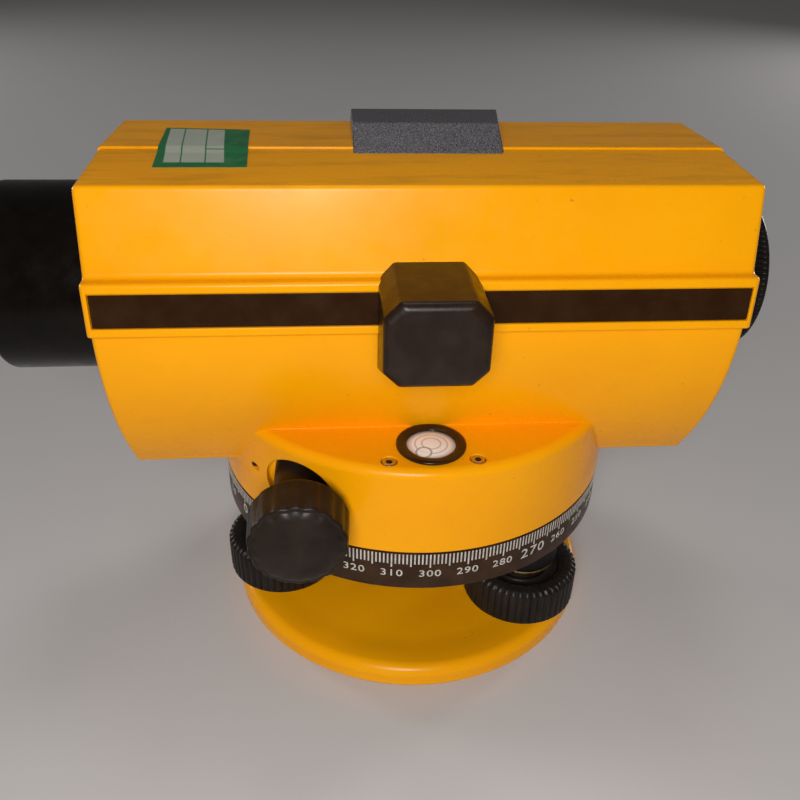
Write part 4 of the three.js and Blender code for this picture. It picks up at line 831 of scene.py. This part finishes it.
def makeLabel(p):
    # a thin sheet over the ridge: its corners share the plane of x and y, its height follows the roof
    u, v = np.meshgrid(np.linspace(0, 1, 41), np.linspace(0, 1, 61), indexing="ij")
    shares = ((1 - u) * (1 - v), u * (1 - v), u * v, (1 - u) * v)
    xy = sum(share[..., None] * np.array(corner) for share, corner in zip(shares, p.corners))
    run = [-body.shoulder, -body.flat - p.seamOut, body.seam - body.flat, 20]
    rise = [body.top - body.nearDrop, body.top - body.lip - p.seamDrop, body.top, body.top]
    roof = np.interp(xy[..., 1], run, rise)
    top = np.concatenate([xy, (roof + p.lift)[..., None]], -1)
    low = np.concatenate([xy, (roof + p.sunk)[..., None]], -1)
    rows, cols = u.shape
    n = rows * cols
    index = np.arange(n).reshape(rows, cols)
    quads = np.stack([index[:-1, :-1], index[1:, :-1], index[1:, 1:], index[:-1, 1:]], -1).reshape(-1, 4)
    rim = np.concatenate([index[:-1, 0], index[-1, :-1], index[:0:-1, -1], index[0, :0:-1]])
    walls = np.stack([rim, rim + n, np.roll(rim, -1) + n, np.roll(rim, -1)], -1)
    faces = quads.tolist() + (quads[:, ::-1] + n).tolist() + walls.tolist()
    mesh = meshFrom("label", np.vstack([top.reshape(-1, 3), low.reshape(-1, 3)]), faces)
    layer = mesh.uv_layers.new(name="sheet")
    uv = np.tile(np.stack([u.ravel(), v.ravel()], -1), (2, 1))
    loops = np.zeros(len(mesh.loops), int)
    mesh.loops.foreach_get("vertex_index", loops)
    layer.data.foreach_set("uv", uv[loops].ravel())
    put("inspectionLabel", facedOut(mesh, False), labelLook(p), "instrument")


def labelLook(p):
    # green sheet with pale fields: each field is a product of soft steps along the sheet's own u and v
    f = Finish("ruledLabel")
    sheet = f.node("UVMap")
    sheet.uv_map = "sheet"
    split = f.node("SeparateXYZ")
    f.given(split.inputs["Vector"], sheet.outputs["UV"])
    u, v = split.outputs["X"], split.outputs["Y"]

    def within(value, low, high):
        rise = f.ramp(value, low - p.softness, low + p.softness)
        return f.times(rise, f.ramp(value, high - p.softness, high + p.softness, 1.0, 0.0))

    colour = f.blended(f.ramp(f.noise(300, 5), *middle), *p.green)
    skewed = f.maths("MULTIPLY_ADD", v, p.skew, u)
    for left, right, far, near in p.fields:
        field = f.times(within(skewed, left, right), within(v, far, near))
        colour = f.blended(field, colour, p.pale)
    stain = f.ramp(f.noise(160, 6, 0.7), 0.56, 0.74)
    colour = f.blended(f.times(stain, 0.35), colour, p.stain)
    f.feed(Base_Color=colour, Roughness=f.ramp(f.noise(200), *middle, 0.3, 0.5))
    f.bumped(f.noise(500, 3), 0.08, 0.00005)
    return f.look


makeSight(sightBar)
makePrismHood(prismHood)
makeLabel(ruledLabel)
print("sight, hood and label ready")

circularVial = Sizes(
    place=(0, -46.4, 80.0), bezel=8.9, bezelInner=6.2, bezelLow=0.02, bezelTop=0.95, bezelEdge=0.25, bezelSlope=0.7,
    lipIn=0.8, lipDrop=0.1, lipFall=0.45, cup=7.9, cupWall=1.2, cupDepth=8.0, glass=6.4, glassDepth=6.5,
    glassEdge=0.3, dome=0.6, bubble=(-2.2, -3.5), bubbleRadius=1.9, rings=(2.4, 4.1), rimFrom=4.6,
    liquid=((0.84, 0.85, 0.87), (0.97, 0.97, 0.98)), rim=(0.30, 0.29, 0.28), ringTone=(0.30, 0.29, 0.29),
    bubbleTone=(0.85, 0.86, 0.85), bubbleEdge=(0.16, 0.16, 0.17),
    screwRadius=1.8, screwLength=5.0, screwSunk=0.15, socket=0.9,
)


def makeVial(p):
    at = np.array(p.place)
    outer, inner, high = p.bezel, p.bezelInner, p.bezelTop
    bezel = softCorners([
        [inner, p.bezelLow], [outer, p.bezelLow], [outer, high - p.bezelEdge], [outer - p.bezelSlope, high],
        [inner + p.lipIn, high - p.lipDrop], [inner, high - p.lipFall],
    ], 0.25, 4)
    ring = meshOf("bezel", [spun(bezel, 128) + at], wrapRows=True)
    put("vialBezelRing", ring, bezelBlack, "instrument", ["vial_bezel"])
    r, hollow, bottom = p.cup, p.cup - p.cupWall, p.cupWall - p.cupDepth
    cup = softCorners([
        [0, -p.cupDepth], [r, -p.cupDepth], [r, 0], [hollow, 0], [hollow, bottom], [0, bottom],
    ], [0, 0.3, 0.15, 0.15, 0.3, 0], 3, False)
    shell = meshOf("cup", [spun(cup, 96) + at], capped=False)
    put("vialCupShell", shell, vialMetal, "instrument", ["vial_cup"])
    # glass: a shallow dome over the cup, radius to height by a parabola
    share = np.linspace(0, 1, 14)
    dome = np.stack([p.glass * share, p.dome * (1 - share ** 2)], -1)[::-1]
    deep, e = -p.glassDepth, p.glassEdge
    glass = np.vstack([[[0, deep], [p.glass - e, deep], [p.glass, deep + e]], dome])
    blank = meshOf("glass", [spun(glass, 96) + at], capped=False)
    put("vialGlassBlank", blank, vialLook(p), "instrument", ["vial_glass"])
    r, low, high = p.screwRadius, -p.screwLength, -p.screwSunk
    head = softCorners([[0, low], [r, low], [r, high], [0, high]], [0, 0.2, 0.35, 0], 4, False)
    for name, side in (("Left", -1), ("Right", 1)):
        place = np.array([side * turret.screwSpread, -turret.screwReach, p.place[2]])
        socket = rodMesh(p.socket, low / 2, 2, 6, shift=place)
        screw = worked(meshOf("screw", [spun(head, 48) + place], capped=False), cut=[socket])
        node = f"vial_screw_{name.lower()}"
        put(f"vialScrew{name}", screw, brassySteel, "instrument", [node], weighted=True)


def vialLook(p):
    # silvery liquid with two painted rings and the pale, dark-rimmed bubble lying to one side
    f = Finish("vialFace")
    level = p.place[2] * mm

    def distance(x, y):
        node = f.node("VectorMath")
        node.operation = "DISTANCE"
        node.inputs[1].default_value = ((p.place[0] + x) * mm, (p.place[1] + y) * mm, level)
        flat = f.node("Mapping")
        flat.inputs["Scale"].default_value = (1, 1, 0)
        flat.inputs["Location"].default_value = (0, 0, level)
        f.given(flat.inputs["Vector"], f.where)
        f.given(node.inputs[0], flat.outputs["Vector"])
        return node.outputs["Value"]

    def ringAt(value, radius, width):
        inner = f.ramp(value, (radius - width) * mm, (radius - width * 0.4) * mm)
        return f.times(inner, f.ramp(value, (radius + width * 0.4) * mm, (radius + width) * mm, 1.0, 0.0))

    centre, bubble = distance(0, 0), distance(*p.bubble)
    glow = f.ramp(f.noise(130, 3), 0.3, 0.75)
    colour = f.blended(glow, *p.liquid)
    colour = f.blended(f.ramp(centre, p.rimFrom * mm, p.glass * mm), colour, p.rim)
    for radius in p.rings:
        colour = f.blended(f.times(ringAt(centre, radius, 0.3), 0.6), colour, p.ringTone)
    inside = f.ramp(bubble, (p.bubbleRadius - 0.15) * mm, (p.bubbleRadius + 0.05) * mm, 0.75, 0.0)
    colour = f.blended(inside, colour, p.bubbleTone)
    colour = f.blended(f.times(ringAt(bubble, p.bubbleRadius, 0.35), 0.75), colour, p.bubbleEdge)
    f.feed(Base_Color=colour, Roughness=f.ramp(glow, 0, 1, 0.06, 0.12), Coat_Weight=1.0, Coat_Roughness=0.03)
    return f.look


vialMetal = metalLook("vialMetal", (0.72, 0.73, 0.74), 0.25)
brassySteel = metalLook("brassySteel", (0.62, 0.55, 0.40), 0.28)
makeVial(circularVial)
print("vial ready")

driveKnob = Sizes(
    radius=12.5, taper=0.6, hub=6.9, hubWall=0.7, hubStart=44.3, sleeveStart=37.0, grip=57.8, end=70.2,
    backRim=((1.4, 0), (0.5, 0.2)), gripEdge=0.9, flutes=18, depth=0.38, fluteStart=0.4, fluteFade=0.9, fluteRun=2.4,
    dome=2.0, domeRim=0.9, bore=2.5,
)
focusKnob = Sizes(
    radius=17.0, start=48.0, end=62.0, bore=2.0, ribs=72, depth=0.6, ribStart=0.8, ribEnd=1.2, fade=(0.7, 0.9),
    lowEdge=((1.2, 0), (0.3, 0.3), (0, 1.1)), topRound=((0, 1.9), (2.2, 0)), sideRows=(1.4, 2.2),
    face=((4.4, 0), (4.9, 0.7), (6.2, 0.9)),
)


def makeDriveKnobs(p):
    # tapered grip whose flutes end in scallops round a pillow-shaped face; a sleeve hub carries it out of the pocket
    r, small, grip, end = p.radius, p.radius - p.taper, p.grip, p.end
    rim = small - p.domeRim
    shoulder = end - p.dome
    face = rim * (1 - np.linspace(0, 1, 26) ** 1.15)
    pillow = end - p.dome * 0.86 * (face / rim) ** 4.2
    side = np.linspace(grip + p.gripEdge, shoulder - 0.5, 18)
    sleeve = p.hub - p.hubWall
    profile = np.vstack([
        [[p.bore, p.hubStart], [sleeve, p.hubStart], [sleeve, p.sleeveStart], [p.hub, p.sleeveStart],
         [p.hub, grip - 0.1]],
        [[r - inwards, grip + out] for inwards, out in p.backRim],
        np.stack([r - p.taper * (side - grip) / (end - grip), side], -1),
        curveBetween([small + 0.12, shoulder - 0.4], [small, shoulder + 0.3], [rim, pillow[0]], 7)[1:-1],
        np.stack([face, pillow], -1),
    ])
    profile[-1, 0] = 0

    def flutes(angle, profile):
        # cosine flutes that start behind the grip's back edge and run out on the pillow's rim
        along, out = profile[:, 1:2], profile[:, 0:1]
        on = np.clip((along - grip - p.fluteStart) / p.fluteFade, 0, 1)
        on = on * np.clip((out - rim + p.fluteRun) / p.fluteRun, 0, 1) ** 1.5
        return p.depth * on * (0.5 + 0.5 * np.cos(angle * p.flutes)) ** 1.3

    for name, side, node in (("Near", -1, "drive_knob_near"), ("Far", 1, "drive_knob_far")):
        grid = onDrive(profile, side, 360, flutes)
        put(f"driveKnob{name}", meshOf("knob", [grid[:-1]]), driveBlack, "drive", [node], 40)


def ribsBetween(p, inner):
    # cosine ribs that fade in behind the back edge and out before the front one, on what lies outside "inner"
    def ribs(angle, profile):
        along = profile[:, 1:2]
        on = np.clip((along - p.start - p.ribStart) / p.fade[0], 0, 1)
        on = on * np.clip((p.end - p.ribEnd - along) / p.fade[1], 0, 1)
        return p.depth * on * (profile[:, 0:1] > inner) * (0.5 + 0.5 * np.cos(angle * p.ribs))
    return ribs


def gripSide(p, steps=12):
    # lower edge, then rows up the straight side of a ribbed grip
    rows = np.linspace(p.start + p.sideRows[0], p.end - p.sideRows[1], steps)
    return [[[p.radius - a, p.start + b] for a, b in p.lowEdge], np.stack([np.full(steps, p.radius), rows], -1)]


def makeFocusKnob(p):
    r, top = p.radius, p.end
    (a, b), (c, d) = p.topRound
    profile = np.vstack([
        [[p.bore, p.start]], *gripSide(p), curveBetween([r - a, top - b], [r, top], [r - c, top - d], 6),
        [[r - inwards, top - down] for inwards, down in p.face], [[p.bore, top - p.face[-1][1]]],
    ])
    grid = alongY(spun(profile, 576, ribsBetween(p, r - 1)), 1) + np.array([body.focusX, 0, body.focusHeight])
    put("focusKnobGrip", meshOf("knob", [grid]), ringBlack, "focus", ["focus_knob"], 40)


makeDriveKnobs(driveKnob)
makeFocusKnob(focusKnob)

objective = Sizes(
    radius=25.2, front=-111.0, back=-50.0, edge=1.6, bore=21.9, boreEdge=0.35, stop=19.8, stopFront=-97.0,
    sleeve=22.5, tubeEnd=-74.3, flange=27.2, flangeFront=-74.1, flangeBack=-71.2, sleeveFront=-71.1,
    ringInner=19.5, ringOuter=21.6, ringLow=-108.6, ringHigh=-106.4, slotHalf=0.7, slotReach=22, slotDepth=0.9,
)
eyeRing = Sizes(
    radius=21.8, start=76.2, end=92.2, lip=4.0, ribs=96, depth=0.55, ribStart=0.9, ribEnd=1.0, fade=(0.7, 0.9),
    bore=15.3, lowEdge=((1.4, 0), (0.4, 0.3), (0, 1.2)), sideRows=(1.6, 1.9), topRound=1.6, lipEdge=(0.6, 0.3, 0.8),
    # in from the lip at the dish's depth, then radius and depth below the dish
    dish=2.2, dishIn=1.6, well=((11.4, 0.4), (10.9, 0.8), (10.9, 2.2), (15.3, 2.4)),
)


def makeBarrel(p):
    r, f = p.radius, p.front
    profile = np.vstack([
        [[p.bore + p.boreEdge, f], [r - p.edge, f]],
        curveBetween([r - p.edge, f], [r, f], [r, f + p.edge], 8)[1:],
        [[r, p.tubeEnd], [p.flange, p.flangeFront], [p.flange, p.flangeBack], [p.sleeve, p.sleeveFront],
         [p.sleeve, p.back], [p.stop, p.back], [p.stop, p.stopFront], [p.bore, p.stopFront],
         [p.bore, f + p.boreEdge]],
    ])
    at = [0, 0, body.optic]
    tube = meshOf("barrel", [alongX(spun(profile, 200)) + at], wrapRows=True)
    put("barrelTube", tube, barrelBlack, "instrument", ["objective_barrel"])
    ring = softCorners([
        [p.ringInner, p.ringLow], [p.ringOuter, p.ringLow], [p.ringOuter, p.ringHigh], [p.ringInner, p.ringHigh],
    ], 0.3, 4)
    slot = boxMesh((p.ringLow - 1, -p.slotReach, body.optic - p.slotHalf),
                   (p.ringLow + p.slotDepth, p.slotReach, body.optic + p.slotHalf))
    mesh = worked(meshOf("ring", [alongX(spun(ring, 160)) + at], wrapRows=True), cut=[slot])
    put("lensRing", mesh, barrelBlack, "instrument", ["objective_ring"], weighted=True)


def makeEyeRing(p):
    r, high, lip = p.radius, p.end, p.radius - p.lip
    outer, inner, down = p.lipEdge
    profile = np.vstack([
        [[p.bore, p.start]], *gripSide(p),
        curveBetween([r, high - p.topRound], [r, high], [r - p.topRound, high], 6),
        curveBetween([lip + outer, high], [lip, high], [lip - inner, high - down], 4),
        [[lip - p.dishIn, high - p.dish]], [[radius, high - p.dish - deep] for radius, deep in p.well],
    ])
    grid = alongX(spun(profile, 768, ribsBetween(p, r - 0.5))) + np.array([0, 0, body.optic])
    ring = meshOf("ring", [grid], wrapRows=True)
    put("dioptreGrip", ring, ringBlack, "dioptre", ["dioptre_ring"], 40)


makeBarrel(objective)
makeEyeRing(eyeRing)
print("knobs, barrel and eyepiece ready")

# finishes of the CAD nodes that keep their own mesh
keptLooks = (
    (steel, "spring_plate spring_screw_1 spring_screw_2 spring_screw_3 friction_washer spindle worm_shaft"),
    (steel, "focus_shaft damping_magnet"),
    (bronze, "worm_wheel shaft_bush_near shaft_bush_far focus_bush pendulum"),
    (clearGlass, "bubble_prism flint_lens focus_lens pendulum_prism reticle"),
    (coatedGlass, "crown_lens eye_lens"), (barrelBlack, "focus_guide eyepiece_tube"),
    (bareAluminium, "focus_cell compensator_frame"), (ringBlack, "eyepiece_cell"), (stripeLook, "side_stripe"),
)
for look, nodes in keptLooks:
    for node in nodes.split():
        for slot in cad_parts[node].material_slots:
            slot.link = "OBJECT"
            slot.material = look

# floor, lamps and world; a lamp is its place, size and power
studio = Sizes(
    floorHalf=40.0, floorHeight=-0.0005, floorColour=(0.60, 0.575, 0.56), floorShade=0.985, world=0.085,
    aim=(0, 0, 0.09), key=((-0.045, -0.33, 0.245), 0.12, 1.0), top=((0.0, 0.3, 1.2), 0.3, 1.3),
    backLeft=((-1.4, 0.9, 0.36), 0.4, 7.0), backRight=((1.4, 0.9, 0.36), 0.4, 7.0),
)


def makeLamp(name, place, size, power, aim):
    data = bpy.data.lights.new(name, "AREA")
    data.shape = "DISK"
    data.size = size
    data.energy = power
    lamp = linked(name, data)
    lamp.location = place
    back = np.array(place, float) - np.array(aim, float)
    lamp.rotation_euler = (math.atan2(math.hypot(back[0], back[1]), back[2]), 0, math.atan2(back[0], -back[1]))


def makeStudio(p):
    floor = bpy.data.meshes.new("floor")
    h, z = p.floorHalf, p.floorHeight
    floor.from_pydata([[-h, -h, z], [h, -h, z], [h, h, z], [-h, h, z]], [], [[0, 1, 2, 3]])
    f = Finish("paleFloor")
    shade = tuple(c * p.floorShade for c in p.floorColour)
    f.feed(Base_Color=f.blended(f.ramp(f.noise(9, 4), *middle), p.floorColour, shade), Roughness=0.7)
    floor.materials.append(f.look)
    piece = linked("floor", floor)
    for name in ("key", "top", "backLeft", "backRight"):
        makeLamp(name, *p[name], p.aim)
    world = bpy.data.worlds.new("paleWorld")
    world.use_nodes = True
    sky = world.node_tree.nodes["Background"].inputs
    sky["Color"].default_value = (1, 1, 1, 1)
    sky["Strength"].default_value = p.world
    bpy.context.scene.world = world


makeStudio(studio)
bpy.context.scene.view_settings.view_transform = "Standard"
print("studio ready")
